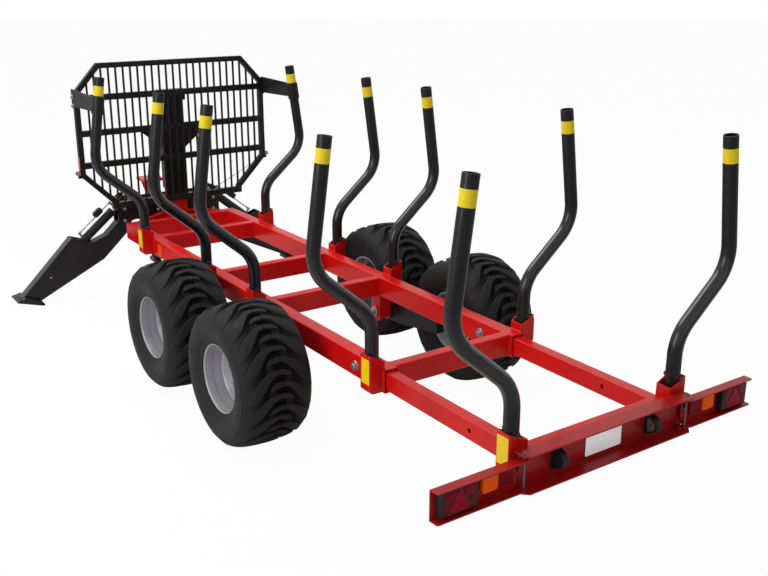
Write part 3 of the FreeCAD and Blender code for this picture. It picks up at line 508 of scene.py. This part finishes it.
BLOCK_TRAIL = [(-0.012, 13.6), (0.018, 13.8), (0.043, 14.4), (0.068, 15.7), (0.076, 16.0)]


def at(table, reach):
    """Reads a table of pairs, straight between its entries and level beyond its ends."""
    if reach <= table[0][0]:
        return table[0][1]
    for (a, low), (b, high) in zip(table, table[1:]):
        if reach <= b:
            return low + (high - low) * (reach - a) / (b - a)
    return table[-1][1]


def on_tyre(reach, degrees, height):
    """A point of the tread: height 1 is the outer surface and 0 the bottom of the pattern."""
    left, line = abs(reach), [Vector(p) for p in OUTLINE]
    for a, b in zip(line, line[1:]):
        step = (b - a).length
        if left <= step:
            break
        left -= step
    run = (b - a).normalized()
    sunk = at(DEPTH, abs(reach)) * (1 - height) + max(0.0, -height) * 0.01
    spot = a + run * min(left, step) - Vector((-run.y, run.x)) * sunk
    turn = math.radians(degrees)
    return Vector((-spot.y * math.sin(turn), math.copysign(spot.x, reach), spot.y * math.cos(turn)))


def tread_piece(bm, reaches, lead, trail, lead_height, tall=1.0):
    """One lug or block, a grid bent round the section: sunk walls about a raised face."""
    share = (0.0, 0.0, 0.07, 0.5, 0.93, 1.0, 1.0)
    lift = (-0.1, 0.78, 1.0, 1.0, 1.0, 0.78, -0.1)
    flare = (-0.45, 0.0, 0.0, 0.0, 0.0, 0.0, 0.45)
    rows = [reaches[0] - 0.0005] + reaches + [reaches[-1] + 0.003]
    for v in bmesh.ops.create_grid(bm, x_segments=len(rows) - 1, y_segments=6, size=0.5)["verts"]:
        row, column = round((v.co.x + 0.5) * (len(rows) - 1)), round((v.co.y + 0.5) * 6)
        reach = rows[row]
        near, far = at(lead, reach), at(trail, reach)
        front = at(lead_height, reach)
        height = lift[column] * tall * (front + (1 - front) * share[column])
        if front < 0.5 and column < 2:
            height = min(height, front * tall)
        if row in (0, len(rows) - 1):
            height = -0.1
        v.co = on_tyre(reach, near + (far - near) * share[column] + flare[column], height)
        # how deep the point sits in the pattern, which sets the painted shade in the grooves
        v[bm.verts.layers.float["sunken"]] = (1 - max(height, 0.0)) * at(DEPTH, abs(reach)) / DEEPEST


def tread_half(bm):
    """Everything on the tyre's left half: lugs, blocks, the low ties behind the blocks, and carcass."""
    steady = [(0.0, 1.0)]
    tread_piece(bm, [0.0135 + 0.0122 * i for i in range(21)], LUG_LEAD, LUG_TRAIL, LEAD_HEIGHT)
    tread_piece(bm, [-0.0095 + 0.0107 * i for i in range(9)], BLOCK_LEAD, BLOCK_TRAIL, steady)
    tie_lead = [(r, d - 0.3) for r, d in BLOCK_TRAIL]
    tie_trail = [(r, d + PITCH + 0.3) for r, d in LUG_LEAD]
    tread_piece(bm, [0.034, 0.046, 0.058, 0.070, 0.082], tie_lead, tie_trail, steady, 0.42)
    bmesh.ops.spin(bm, geom=bm.faces[:], cent=(0, 0, 0), axis=(0, 1, 0), angle=math.tau, steps=PITCHES,
                   use_merge=False, use_duplicate=True)
    bmesh.ops.remove_doubles(bm, verts=bm.verts, dist=0.00002)
    reaches, total = [0.0], 0.0
    for a, b in zip(OUTLINE, OUTLINE[1:]):
        total += (Vector(b) - Vector(a)).length
        reaches += [total - (Vector(b) - Vector(a)).length / 2, total]
    chain = [bm.verts.new(on_tyre(reach, 0.0, 0.0)) for reach in reaches] + [bm.verts.new((0, 0.196, 0.2165))]
    for v, reach in zip(chain, reaches):
        v[bm.verts.layers.float["sunken"]] = at(DEPTH, reach) / DEEPEST
    edges = [bm.edges.new(pair) for pair in zip(chain, chain[1:])]
    bmesh.ops.spin(bm, geom=chain + edges, cent=(0, 0, 0), axis=(0, 1, 0), angle=math.tau, steps=120,
                   use_merge=True)


# each wheel's middle, and how far it has rolled
front_axle, rear_axle, track = -0.234, -1.368, 0.936
wheels = [("front_left", front_axle, track, 9.0), ("front_right", front_axle, -track, 3.0),
          ("rear_left", rear_axle, track, 50.0), ("rear_right", rear_axle, -track, 14.0)]
for place, x, y, degrees in wheels:
    bm = bmesh.new()
    bm.verts.layers.float.new("sunken")
    tread_half(bm)
    bmesh.ops.rotate(bm, verts=mirrored(bm), matrix=Matrix.Rotation(-math.radians(PITCH / 2), 3, "Y"))
    bm.transform(Matrix.Translation((x, y, TYRE_R)) @ Matrix.Rotation(-math.radians(degrees), 4, "Y"))
    put(bm, "tyre_tread_" + place, "wheel_" + place, rubber, ["tyre_" + place], 38)

# ---------------------------------------------------------------- wheels
# Each wheel is a rolled rim, drop-centred, with a dished disc welded in and bolted on near its middle.
# Eight nuts clamp the disc to a cast hub with a pressed grease cap; the rim is silver enamel.
silver_enamel = enamel("silver_enamel", colour(158, 158, 164), colour(140, 140, 146), colour(166, 164, 162),
                       0.36, 0.25)
silver_enamel.node_tree.nodes["Principled BSDF"].inputs["Metallic"].default_value = 0.20


def turned(bm, outline, steps=64, closed=False):
    """Spins an outline of (across, radius) pairs about the axle."""
    chain = [bm.verts.new((0, across, radius)) for across, radius in outline]
    edges = [bm.edges.new(pair) for pair in zip(chain, chain[1:])]
    if closed:
        edges.append(bm.edges.new((chain[-1], chain[0])))
    bmesh.ops.spin(bm, geom=chain + edges, cent=(0, 0, 0), axis=(0, 1, 0), angle=math.tau, steps=steps,
                   use_merge=True)
    bmesh.ops.remove_doubles(bm, verts=bm.verts, dist=0.00001)


NUT_CIRCLE = 0.0975
# the rim, its disc and the hub as they are turned, (across, radius), with outboard positive
RIM_SHELL = [(0.1960, 0.2200), (0.1960, 0.2268), (0.1985, 0.2292), (0.2060, 0.2300), (0.2105, 0.2288),
             (0.2120, 0.2262), (0.2100, 0.2235), (0.2030, 0.2195), (0.1930, 0.2165), (0.1800, 0.2140),
             (0.1620, 0.2118), (0.1555, 0.2108), (0.1550, 0.2148), (0.1520, 0.2148), (0.1512, 0.2064),
             (0.1380, 0.2040), (0.1200, 0.1995), (0.1010, 0.1945), (0.0550, 0.1900), (0.0250, 0.1872),
             (0.0000, 0.1855), (-0.0700, 0.1850), (-0.0950, 0.1850), (-0.1150, 0.2050), (-0.1985, 0.2090),
             (-0.2018, 0.2102), (-0.2030, 0.2125), (-0.2030, 0.2315), (-0.2015, 0.2330), (-0.1972, 0.2326),
             (-0.1960, 0.2312), (-0.1960, 0.2160), (-0.1130, 0.2120), (-0.0930, 0.1920), (0.0000, 0.1925),
             (0.0600, 0.2040), (0.1130, 0.2120)]
DISC = [(-0.0220, 0.0720), (-0.0110, 0.0700), (-0.0100, 0.0720), (-0.0100, 0.1280), (-0.0080, 0.1320),
        (0.0280, 0.1505), (0.0600, 0.1670), (0.0880, 0.1830), (0.0930, 0.1860), (0.0980, 0.1955),
        (0.0890, 0.1960), (0.0840, 0.1900), (0.0520, 0.1685), (0.0180, 0.1520), (-0.0190, 0.1350),
        (-0.0220, 0.1310)]
HUB = [(-0.178, 0.0320), (-0.178, 0.0620), (-0.176, 0.0640), (-0.0360, 0.0640), (-0.0360, 0.1130),
       (-0.0340, 0.1150), (-0.0222, 0.1150), (-0.0220, 0.0690), (-0.0080, 0.0675), (0.0260, 0.0640),
       (0.0280, 0.0620), (0.0280, 0.0520), (0.0360, 0.0505), (0.0390, 0.0480), (0.0400, 0.0300),
       (0.0405, 0.0000)]


def vents(bm, count):
    """Opens hand holes at even steps round the disc's cone and walls them in."""
    for i in range(count):
        doomed = []
        for face in bm.faces:
            middle = face.calc_center_median()
            turn = math.remainder(math.atan2(middle.z, middle.x) - math.tau * i / count, math.tau)
            if 0.150 < math.hypot(middle.x, middle.z) < 0.168 and abs(turn) < math.radians(4):
                doomed.append(face)
        bmesh.ops.delete(bm, geom=doomed, context="FACES")
        bmesh.ops.bridge_loops(bm, edges=[e for e in bm.edges if e.is_boundary])


for place, x, y, _ in wheels:
    side = math.copysign(1.0, y)
    set_in_place = Matrix.Translation((x, y, TYRE_R)) @ Matrix.Diagonal((1, side, 1, 1))
    bm = bmesh.new()
    turned(bm, RIM_SHELL, 96, True)
    turned(bm, DISC, 72, True)
    vents(bm, 8)
    valve = Matrix.Translation((0.0, 0.112, 0.188)) @ Matrix.Rotation(math.radians(70), 4, "X")
    bmesh.ops.create_cone(bm, cap_ends=True, segments=12, radius1=0.008, radius2=0.005, depth=0.05,
                          matrix=valve)
    bm.transform(set_in_place)
    put(bm, "wheel_rim_" + place, "wheel_" + place, silver_enamel, ["rim_" + place], 34)
    bm = bmesh.new()
    turned(bm, HUB, 48)
    bm.transform(set_in_place)
    put(bm, "wheel_hub_" + place, "wheel_" + place, red_enamel, ["hub_" + place], 34)
    bm = bmesh.new()
    for i in range(8):
        across, up = (NUT_CIRCLE * wave(math.tau * (i + 0.5) / 8) for wave in (math.sin, math.cos))
        bolt(bm, (across, -0.010, up), (0, 1, 0), 0.027, 0.020)
    bm.transform(set_in_place)
    put(bm, "wheel_nuts_" + place, "wheel_" + place, zinc)

# ---------------------------------------------------------------- bogies
# A walking beam on each side rocks on a stub under the bed and carries two stub axles.
# Folded and welded plate, black against the red bed; the stub's end cap is bolted on.
black_enamel = enamel("black_enamel", colour(27, 25, 25), colour(21, 20, 20), colour(66, 62, 60), 0.34, 0.4)
for hand in ("left", "right"):
    dressed("bogie_" + hand, "walking_beam_" + hand, "bogie_" + hand, black_enamel, 0.003)
bm = bmesh.new()
for i in range(6):
    across, up = (0.047 * wave(math.tau * i / 6) for wave in (math.cos, math.sin))
    bolt(bm, (stub_x + across, 0.676, stub_z + up), (0, 1, 0), 0.016, 0.008)
mirrored(bm)
put(bm, "stub_cap_bolts", FRAME, zinc)
for hand, side in (("left", 1), ("right", -1)):
    bm = bmesh.new()
    for x in (-0.98, -0.62):
        bead_run(bm, (x - 0.05, 0.6625, 0.395), (x + 0.05, 0.6625, 0.395), 0.003)
    bm.transform(Matrix.Diagonal((1, side, 1, 1)))
    put(bm, "walking_beam_welds_" + hand, "bogie_" + hand, black_enamel)

# ---------------------------------------------------------------- headboard
# A slatted guard of flat bars behind a mitred tube ring keeps the load off the crane.
# It leans on a boxed column with a skirt plate and is tied to the first stakes; satin black enamel.
dressed("headboard_frame", "guard_ring", FRAME, black_enamel, 0.002)
dressed("headboard_bars", "guard_bars", FRAME, black_enamel, 0.0015)
dressed("headboard_arms", "guard_arms", FRAME, black_enamel, 0.002)
dressed("headboard_column", "guard_column", FRAME, black_enamel, 0.003)
bm = bmesh.new()
skirt = Matrix.Translation((1.902, 0, 0.944)) @ Matrix.Diagonal((0.003, 0.208, 0.080, 1))
bmesh.ops.create_cube(bm, size=1.0, matrix=skirt)
put(bm, "column_skirt", FRAME, black_enamel)

# ---------------------------------------------------------------- stabilisers
# Two gooseneck legs hang in a boxed housing across the spine, each pushed down by its own cylinder.
# Plate legs and barrels are satin black; the rods are hard-chromed and always a little oily.
chrome, shader, start = finish("hard_chrome", Metallic=1.0)
start.noise(18.0, 4.0).mix(colour(232, 232, 234), colour(205, 206, 208)).into(shader, "Base Color")
(start.noise(60.0, 4.0).step(0.4, 0.8) * 0.16 + 0.07).into(shader, "Roughness")
start.noise(600.0).bump(0.0001, 0.1).into(shader, "Normal")
dressed("stabiliser_housing", "leg_housing", FRAME, black_enamel, 0.002)
for hand in ("left", "right"):
    dressed("leg_" + hand, "gooseneck_" + hand, "leg_" + hand, black_enamel, 0.002)
    dressed("leg_barrel_" + hand, "leg_cylinder_" + hand, "leg_barrel_" + hand, black_enamel, 0.002)
    dressed("leg_rod_" + hand, "leg_piston_" + hand, "leg_rod_" + hand, chrome, 0.001)

# ---------------------------------------------------------------- drawbar and steering
# Two cylinders between the spine and the drawbar's ears turn the drawbar to steer the trailer.
# The tow eye is a forged ring welded to a bolted flange, painted, and bare where it bears.
for hand in ("left", "right"):
    dressed("steer_barrel_" + hand, "steer_cylinder_" + hand, "steer_barrel_" + hand, black_enamel,
            0.0015)
    dressed("steer_rod_" + hand, "steer_piston_" + hand, "steer_rod_" + hand, chrome, 0.001)
dressed("tow_eye", "tow_ring", "drawbar_arm", red_enamel, 0.003)

# ---------------------------------------------------------------- light wings
# Folded lamp brackets hinged to the ends of the rear channel, so they swing out of the crane's way.
# Thin sheet, bent once at each flange, in the same darker copy of the red enamel as the channel they close
# against: painted shade for the dimmer tail.
# A darker copy of the red enamel: painted shade for the wings, channel, hinge plates and latch at the tail.
shaded_red = enamel("deep_red_enamel", colour(166, 12, 13), colour(148, 10, 12), colour(196, 60, 54), 0.30, 0.3)
for hand in ("left", "right"):
    dressed("light_wing_" + hand, "lamp_bracket_" + hand, "light_wing_" + hand, shaded_red, 0.0015)

# ---------------------------------------------------------------- tail lamps
# A combined lamp with a triangular reflector, an amber indicator and a square fog lamp on each wing.
# Moulded black housings screwed to the bracket, with ribbed plastic lenses welded on.
black_plastic, shader, start = finish("black_plastic", Specular_IOR_Level=0.2)
start.noise(16.0, 4.0).mix(colour(24, 25, 25), colour(34, 35, 34)).into(shader, "Base Color")
(start.noise(22.0, 4.0) * 0.25 + 0.34).into(shader, "Roughness")
start.noise(1500.0, 1.0).bump(0.0003, 0.35).into(shader, "Normal")


def lens(name, bright, deep, ribs, cells):
    """Coloured lens plastic, darker where it is thick, with moulded ribs or a reflector's cells."""
    material, shader, start = finish(name, Specular_IOR_Level=0.06)
    wave = start.math("SINE", start.place(1) * ribs) * 0.5 + 0.5
    if cells:
        wave = start.cells(cells).step(0.0, 0.25)
    drift = start.noise(30.0, 3.0).step(0.3, 0.7)
    (drift * 0.5 + wave * 0.3).mix(deep, bright).into(shader, "Base Color")
    (start.noise(90.0, 3.0) * 0.15 + 0.14).into(shader, "Roughness")
    wave.bump(0.0006, 0.5).into(shader, "Normal")
    return material


red_lens = lens("red_lens", colour(150, 2, 34), colour(104, 2, 26), 1600.0, 0)
triangle_lens = lens("triangle_lens", colour(176, 2, 48), colour(148, 2, 40), 0.0, 420.0)
amber_lens = lens("amber_lens", colour(255, 104, 6), colour(248, 84, 4), 1100.0, 0)


def rounded_slab(bm, y0, y1, z0, z1, x0, x1, radius, ease):
    """A block from x0 back to x1 with rounded corners and an eased rear edge."""
    middle = Vector(((x0 + x1) / 2, (y0 + y1) / 2, (z0 + z1) / 2))
    size = Matrix.Diagonal((abs(x1 - x0), abs(y1 - y0), abs(z1 - z0), 1))
    verts = bmesh.ops.create_cube(bm, size=1.0, matrix=Matrix.Translation(middle) @ size)["verts"]
    along = [e for e in edges_at(verts) if abs(e.verts[0].co.x - e.verts[1].co.x) > 1e-6]
    made = soften(bm, along, radius, 5)
    rear = min(x0, x1)
    faces = {f for v in made["verts"] for f in v.link_faces}
    soften(bm, {e for f in faces for e in f.edges if all(abs(v.co.x - rear) < 1e-6 for v in e.verts)}, ease, 3)


def panel(bm, corners, x0, x1, ease=0.0012):
    """A thin four-cornered plate standing off a rear-facing surface; corners are (y, z)."""
    grid = bmesh.ops.create_grid(bm, x_segments=1, y_segments=1, size=0.5)["verts"]
    grid.sort(key=lambda v: math.atan2(v.co.y, v.co.x))
    for v, (y, z) in zip(grid, corners):
        v.co = (x0, y, z)
    face = grid[0].link_faces[0]
    raised = bmesh.ops.extrude_face_region(bm, geom=[face])["geom"]
    bmesh.ops.translate(bm, verts=of_kind(BMVert, raised), vec=(x1 - x0, 0, 0))
    soften(bm, [e for face in of_kind(BMFace, raised) for e in face.edges], ease, 2)


# each lamp's inner and outer y, low and high z, and x where it meets the bracket and where its face is
MAIN = (0.890, 1.108, 0.578, 0.714, -3.582, -3.6215)
AMBER = (0.748, 0.846, 0.610, 0.701, -3.582, -3.602)
FOG = (0.648, 0.742, 0.608, 0.690, -3.582, -3.594)
# glass of the combined lamp as (y, z) corners, counted round from the lower inner one
UPPER_OUT = [(1.040, 0.652), (1.083, 0.652), (1.078, 0.705), (1.013, 0.705)]
LOWER_OUT = [(1.074, 0.590), (1.098, 0.590), (1.094, 0.643), (1.046, 0.643)]
UPPER_IN = [(0.912, 0.652), (0.955, 0.652), (0.982, 0.705), (0.912, 0.705)]
LOWER_IN = [(0.912, 0.596), (0.922, 0.596), (0.949, 0.643), (0.912, 0.643)]
TRIANGLE = [(0.929, 0.589), (1.067, 0.589), (1.0005, 0.7045), (0.9955, 0.7045)]
for hand, side in (("left", 1), ("right", -1)):
    wing, flip = "light_wing_" + hand, Matrix.Diagonal((1, side, 1, 1))
    glass = MAIN[-1]
    bm = bmesh.new()
    rounded_slab(bm, *MAIN, 0.010, 0.006)
    bm.transform(flip)
    put(bm, "lamp_housing_" + hand, wing, black_plastic, ["tail_lamps_" + hand], 40)
    bm = bmesh.new()
    for corners in (UPPER_OUT, LOWER_OUT, UPPER_IN, LOWER_IN):
        panel(bm, corners, glass + 0.001, glass - 0.0012)
    rounded_slab(bm, *FOG, 0.004, 0.002)
    bm.transform(flip)
    put(bm, "red_lenses_" + hand, wing, red_lens, (), 40)
    bm = bmesh.new()
    panel(bm, TRIANGLE, glass + 0.001, glass - 0.0022, 0.0008)
    bm.transform(flip)
    put(bm, "triangle_reflector_" + hand, wing, triangle_lens, (), 40)
    bm = bmesh.new()
    rounded_slab(bm, *AMBER, 0.014, 0.005)
    bm.transform(flip)
    put(bm, "amber_lens_" + hand, wing, amber_lens, (), 40)
    bm = bmesh.new()
    rounded_slab(bm, 0.587, 0.640, 0.566, 0.716, -3.5745, -3.5815, 0.001, 0.0005)
    rounded_slab(bm, 0.603, 0.632, 0.628, 0.652, -3.5810, -3.5850, 0.002, 0.0008)
    bm.transform(flip)
    put(bm, "wing_hinge_plate_" + hand, wing, shaded_red, (), 40)
    bm = bmesh.new()
    bolt(bm, (-3.5815, 0.613, 0.672), (-1, 0, 0), 0.016, 0.008)
    bolt(bm, (-3.582, 0.650, 0.612), (-1, 0, 0), 0.007, 0.003)
    for y in (0.760, 1.098):
        bolt(bm, (-3.576, y, 0.640), (1, 0, 0), 0.012, 0.006)
    bm.transform(flip)
    put(bm, "wing_bolts_" + hand, wing, blackened)

# ---------------------------------------------------------------- rear channel fittings
# Hinge pins for the wings, the number plate with a lamp each side of it, and the wing's latch.
# Pins and spring are plain steel; the plate is pressed aluminium left blank and given a faint painted glow;
# lamps are black plastic.
HINGE_X, HINGE_Y, CHANNEL_FACE = -3.606, 0.592, -3.5615
# The channel and its end fittings take the darker red copy, painted shade at the tail.
channel = dressed("light_bar", "tail_channel", TAIL, shaded_red, 0.0015)
bm = bmesh.new()
bm.from_mesh(channel.data)
pins = [v for v in bm.verts if math.hypot(v.co.x - HINGE_X, abs(v.co.y) - HINGE_Y) < 0.0125]
bmesh.ops.delete(bm, geom=pins, context="VERTS")
bmesh.ops.holes_fill(bm, edges=[e for e in bm.edges if e.is_boundary])
bmesh.ops.recalc_face_normals(bm, faces=bm.faces)
bm.to_mesh(channel.data)
bm.free()
bm = bmesh.new()
for y0, y1, low, high in ((0.584, 0.620, 0.5455, 0.614), (0.584, 0.620, 0.636, 0.7515),
                          (0.584, 0.589, 0.613, 0.637), (0.600, 0.620, 0.613, 0.637)):
    rounded_slab(bm, y0, y1, low, high, -3.5555, CHANNEL_FACE, 0.001, 0.0005)
mirrored(bm)
put(bm, "channel_ends", TAIL, shaded_red, (), 40)

dull_steel, shader, start = finish("dull_steel", Metallic=0.7)
start.noise(80.0, 4.0).mix(colour(92, 86, 88), colour(126, 120, 122)).into(shader, "Base Color")
(start.noise(50.0, 3.0) * 0.2 + 0.34).into(shader, "Roughness")
start.noise(800.0).bump(0.0003, 0.2).into(shader, "Normal")
bm = bmesh.new()
for z, facing in ((0.752, 1), (0.545, -1)):
    bolt(bm, (HINGE_X, HINGE_Y, z), (0, 0, facing), 0.0165, 0.008)
rod(bm, 0.006, 0.199, Matrix.Translation((HINGE_X, HINGE_Y, 0.6485)), 20)
mirrored(bm)
put(bm, "hinge_pins", TAIL, dull_steel, (), 40)

# The plate glows faintly though it is no lamp: painted light that keeps it white.
plate_white, shader, start = finish("plate_white", Emission_Strength=0.28)
shader.inputs["Emission Color"].default_value = colour(235, 232, 232)
start.noise(7.0, 5.0).step(0.3, 0.8).mix(colour(232, 229, 229), colour(220, 216, 215)).into(shader, "Base Color")
(start.noise(25.0, 4.0) * 0.2 + 0.25).into(shader, "Roughness")
start.noise(240.0, 2.0).bump(0.0003, 0.2).into(shader, "Normal")
bm = bmesh.new()
rounded_slab(bm, -0.131, 0.131, 0.576, 0.690, -3.5632, -3.5662, 0.008, 0.0010)
rounded_slab(bm, -0.121, 0.121, 0.586, 0.680, -3.5655, -3.5672, 0.005, 0.0008)
put(bm, "number_plate", TAIL, plate_white, (), 40)
bm = bmesh.new()
rounded_slab(bm, -0.136, 0.136, 0.571, 0.695, -3.5613, -3.5635, 0.009, 0.0008)
for side in (-1, 1):
    drum = Matrix.Translation((CHANNEL_FACE, 0.343 * side, 0.641)) @ Matrix.Diagonal((0.083 / 0.054, 1, 1, 1))
    made = rod(bm, 0.054, 0.046, drum @ Matrix.Rotation(math.pi / 2, 4, "X"), 48)
    around = [e for e in edges_at(made) if abs(e.verts[0].co.y - e.verts[1].co.y) < 1e-6]
    soften(bm, around, 0.006, 3)
    rounded_slab(bm, 0.343 * side - 0.034, 0.343 * side + 0.034, 0.580, 0.702, -3.5613, -3.5673, 0.010, 0.002)
bmesh.ops.bisect_plane(bm, geom=everything(bm), plane_co=(CHANNEL_FACE, 0, 0),
                       plane_no=(1, 0, 0), clear_outer=True)
put(bm, "plate_lamps", TAIL, black_plastic, (), 40)
clear_lens, shader, start = finish("clear_lens", Coat_Weight=0.15, Coat_Roughness=0.05)
start.noise(40.0, 3.0).mix(colour(132, 118, 120), colour(92, 82, 84)).into(shader, "Base Color")
(start.noise(60.0) * 0.15 + 0.12).into(shader, "Roughness")
(start.math("SINE", start.place(2) * 1400.0)).bump(0.0004, 0.4).into(shader, "Normal")
bm = bmesh.new()
for side in (-1, 1):
    pane = Matrix.Translation((-3.575, 0.3192 * side, 0.641)) @ Matrix.Diagonal((0.052 / 0.040, 1, 1, 1))
    rod(bm, 0.040, 0.003, pane @ Matrix.Rotation(math.pi / 2, 4, "X"), 40)
bmesh.ops.bisect_plane(bm, geom=everything(bm), plane_co=(-3.576, 0, 0),
                       plane_no=(1, 0, 0), clear_outer=True)
put(bm, "plate_lamp_panes", TAIL, clear_lens, (), 40)

bm = bmesh.new()
heart = Vector((-3.567, -0.599, 0.636))
wire = Matrix.Translation(heart + Vector((0.0045, 0, 0))) @ Matrix.Rotation(math.pi / 2, 4, "X")
coil = bmesh.ops.create_circle(bm, segments=8, radius=0.0013, matrix=wire)["verts"]
bmesh.ops.spin(bm, geom=coil + edges_at(coil), cent=heart, axis=(0, 0, 1), dvec=(0, 0, 0.0042 / 16),
               angle=math.tau * 7, steps=112)
rod(bm, 0.0025, 0.070, Matrix.Translation(heart + Vector((0, 0, 0.012))), 12)
bolt(bm, heart + Vector((0, 0, 0.036)), (0, 0, 1), 0.009, 0.005)
put(bm, "latch_spring", TAIL, dull_steel, (), 40)
bm = bmesh.new()
rounded_slab(bm, -0.606, -0.562, 0.553, 0.616, -3.5615, -3.5665, 0.004, 0.001)
put(bm, "latch_plate", TAIL, shaded_red, (), 40)

# ---------------------------------------------------------------- reflectors
# Yellow and orange retro-reflective strips along both flanks, glued on after painting.
# Prismatic plastic sheet about a millimetre thick, its corners cut round.


def retro(name, bright, deep):
    material, shader, start = finish(name, Coat_Weight=0.1, Coat_Roughness=0.1, Specular_IOR_Level=0.2)
    cells = start.cells(240.0)
    grime = start.noise(18.0, 5.0).step(0.5, 0.85)
    (cells.step(0.0, 0.2) * 0.7 + grime * 0.2).mix(deep, bright).into(shader, "Base Color")
    (grime * 0.25 + 0.22).into(shader, "Roughness")
    cells.bump(0.0003, 0.3).into(shader, "Normal")
    return material


yellow_sheet = retro("yellow_sheet", colour(246, 214, 28), colour(214, 176, 14))
orange_sheet = retro("orange_sheet", colour(238, 96, 16), colour(206, 66, 8))


def strip(bm, x0, x1, z0, z1, face, thick=0.0012):
    """A flat strip on an outward-facing side of the left half."""
    size = Matrix.Diagonal((x1 - x0, thick, z1 - z0, 1))
    middle = Matrix.Translation(((x0 + x1) / 2, face + thick / 2, (z0 + z1) / 2))
    verts = bmesh.ops.create_cube(bm, size=1.0, matrix=middle @ size)["verts"]
    soften(bm, [e for e in edges_at(verts) if abs(e.verts[0].co.y - e.verts[1].co.y) > 1e-6], 0.006, 3)


socket_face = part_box("stake_sockets")[1].y
bm = bmesh.new()
for x in (1.249, -2.295):
    strip(bm, x - 0.0495, x + 0.030, 0.652, 0.808, socket_face)
mirrored(bm)
put(bm, "yellow_strips", FRAME, yellow_sheet, (), 40)
bm = bmesh.new()
strip(bm, -3.545, -3.463, 0.662, 0.815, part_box("extension_frame")[1].y)
mirrored(bm)
put(bm, "rear_yellow_strips", TAIL, yellow_sheet, (), 40)
bm = bmesh.new()
strip(bm, 1.020, 1.100, 0.592, 0.702, bed_side)
strip(bm, 1.857, 1.897, 1.268, 1.380, 0.921, 0.003)
mirrored(bm)
put(bm, "orange_strips", FRAME, orange_sheet, (), 40)

# ---------------------------------------------------------------- hydraulics on the legs
# Each leg's barrel carries a check valve and a plain steel pipe from it to the far end of the barrel.
# The pipes are bent and clipped, not free, so they move as one with the barrel.


def block(bm, size, matrix, radius):
    """A machined block with every edge rounded."""
    verts = bmesh.ops.create_cube(bm, size=1.0, matrix=matrix @ Matrix.Diagonal((*size, 1)))["verts"]
    soften(bm, edges_at(verts), radius, 2)


# the ram's own frame: Z from its eye up to its base, Y away from the leg
EYE, BASE = Vector((2.199, 0.880, 0.507)), Vector((2.199, 0.410, 0.895))
ram_way = (BASE - EYE).normalized()
ram_side = Vector((0, ram_way.z, -ram_way.y))
to_ram = Matrix((Vector((1, 0, 0)), ram_side, ram_way)).transposed().to_4x4()
to_ram.translation = EYE
for hand, side in (("left", 1), ("right", -1)):
    body, flip = "leg_barrel_" + hand, Matrix.Diagonal((1, side, 1, 1))
    bm = bmesh.new()
    for reach, length in ((0.165, 0.225), (0.413, 0.120)):
        rod(bm, 0.0065, length, to_ram @ Matrix.Translation((0, 0.078, reach)))
    for reach in (0.058, 0.464):
        stand = to_ram @ Matrix.Translation((0, 0.0625, reach)) @ Matrix.Rotation(math.pi / 2, 4, "X")
        rod(bm, 0.011, 0.050, stand)
    for reach in (0.075, 0.272, 0.362, 0.448):
        rod(bm, 0.0125, 0.016, to_ram @ Matrix.Translation((0, 0.078, reach)), 6)
    bm.transform(flip)
    put(bm, "leg_pipe_" + hand, body, zinc, (), 40)
    bm = bmesh.new()
    block(bm, (0.046, 0.054, 0.080), to_ram @ Matrix.Translation((0, 0.092, 0.317)), 0.003)
    rod(bm, 0.014, 0.100, to_ram @ Matrix.Translation((0, 0.100, 0.317)), 6)
    for reach in (0.048, 0.420):
        rod(bm, 0.043, 0.010, to_ram @ Matrix.Translation((0, 0, reach)), 48)
    bm.transform(flip)
    put(bm, "check_valve_" + hand, body, black_enamel, (), 40)
    bm = bmesh.new()
    bolt(bm, (2.145, 1.200, 0.239), (-1, 0, 0), 0.010, 0.006)
    bm.transform(flip)
    put(bm, "leg_bolts_" + hand, "leg_" + hand, zinc)

# ---------------------------------------------------------------- headboard and housing fittings
# Bolts through the arms, the housing and the eyes at the headboard's sides, and a thin stay to each eye.
# Under the left beam a small black hydraulic block feeds the lines that run along the bed.
bm = bmesh.new()
for z in (1.833, 1.912):
    bolt(bm, (1.876, 0.931, z), (0, 1, 0), 0.022, 0.010)
bolt(bm, (1.858, 0.939, 1.233), (-1, 0, 0), 0.022, 0.006)
for y, z, x in ((0.457, 0.800, 2.117), (0.410, 0.895, 2.119), (0.458, 0.683, 2.129), (0.120, 0.749, 2.129),
                (0.202, 0.667, 2.129)):
    bolt(bm, (x, y, z), (-1, 0, 0), 0.018, 0.009)
start_at, end_at = Vector((1.884, 0.927, 1.205)), Vector((2.124, 0.512, 0.905))
run = end_at - start_at
stay = Matrix.Translation((start_at + end_at) / 2) @ run.to_track_quat("Z", "Y").to_matrix().to_4x4()
rod(bm, 0.0035, run.length, stay, 12)
bolt(bm, (2.129, 0.506, 0.900), (-1, 0, 0), 0.016, 0.008)
mirrored(bm)
put(bm, "guard_bolts", FRAME, zinc)
bm = bmesh.new()
manifold = Vector((1.235, 0.512, 0.514))
block(bm, (0.085, 0.060, 0.052), Matrix.Translation(manifold + Vector((0, 0, 0.040))), 0.004)
block(bm, (0.200, 0.046, 0.030), Matrix.Translation(manifold), 0.004)
for reach in (-0.115, 0.115):
    union = Matrix.Translation(manifold + Vector((reach, 0, 0))) @ Matrix.Rotation(math.pi / 2, 4, "Y")
    rod(bm, 0.014, 0.032, union, 6)
put(bm, "feed_block", FRAME, black_enamel)
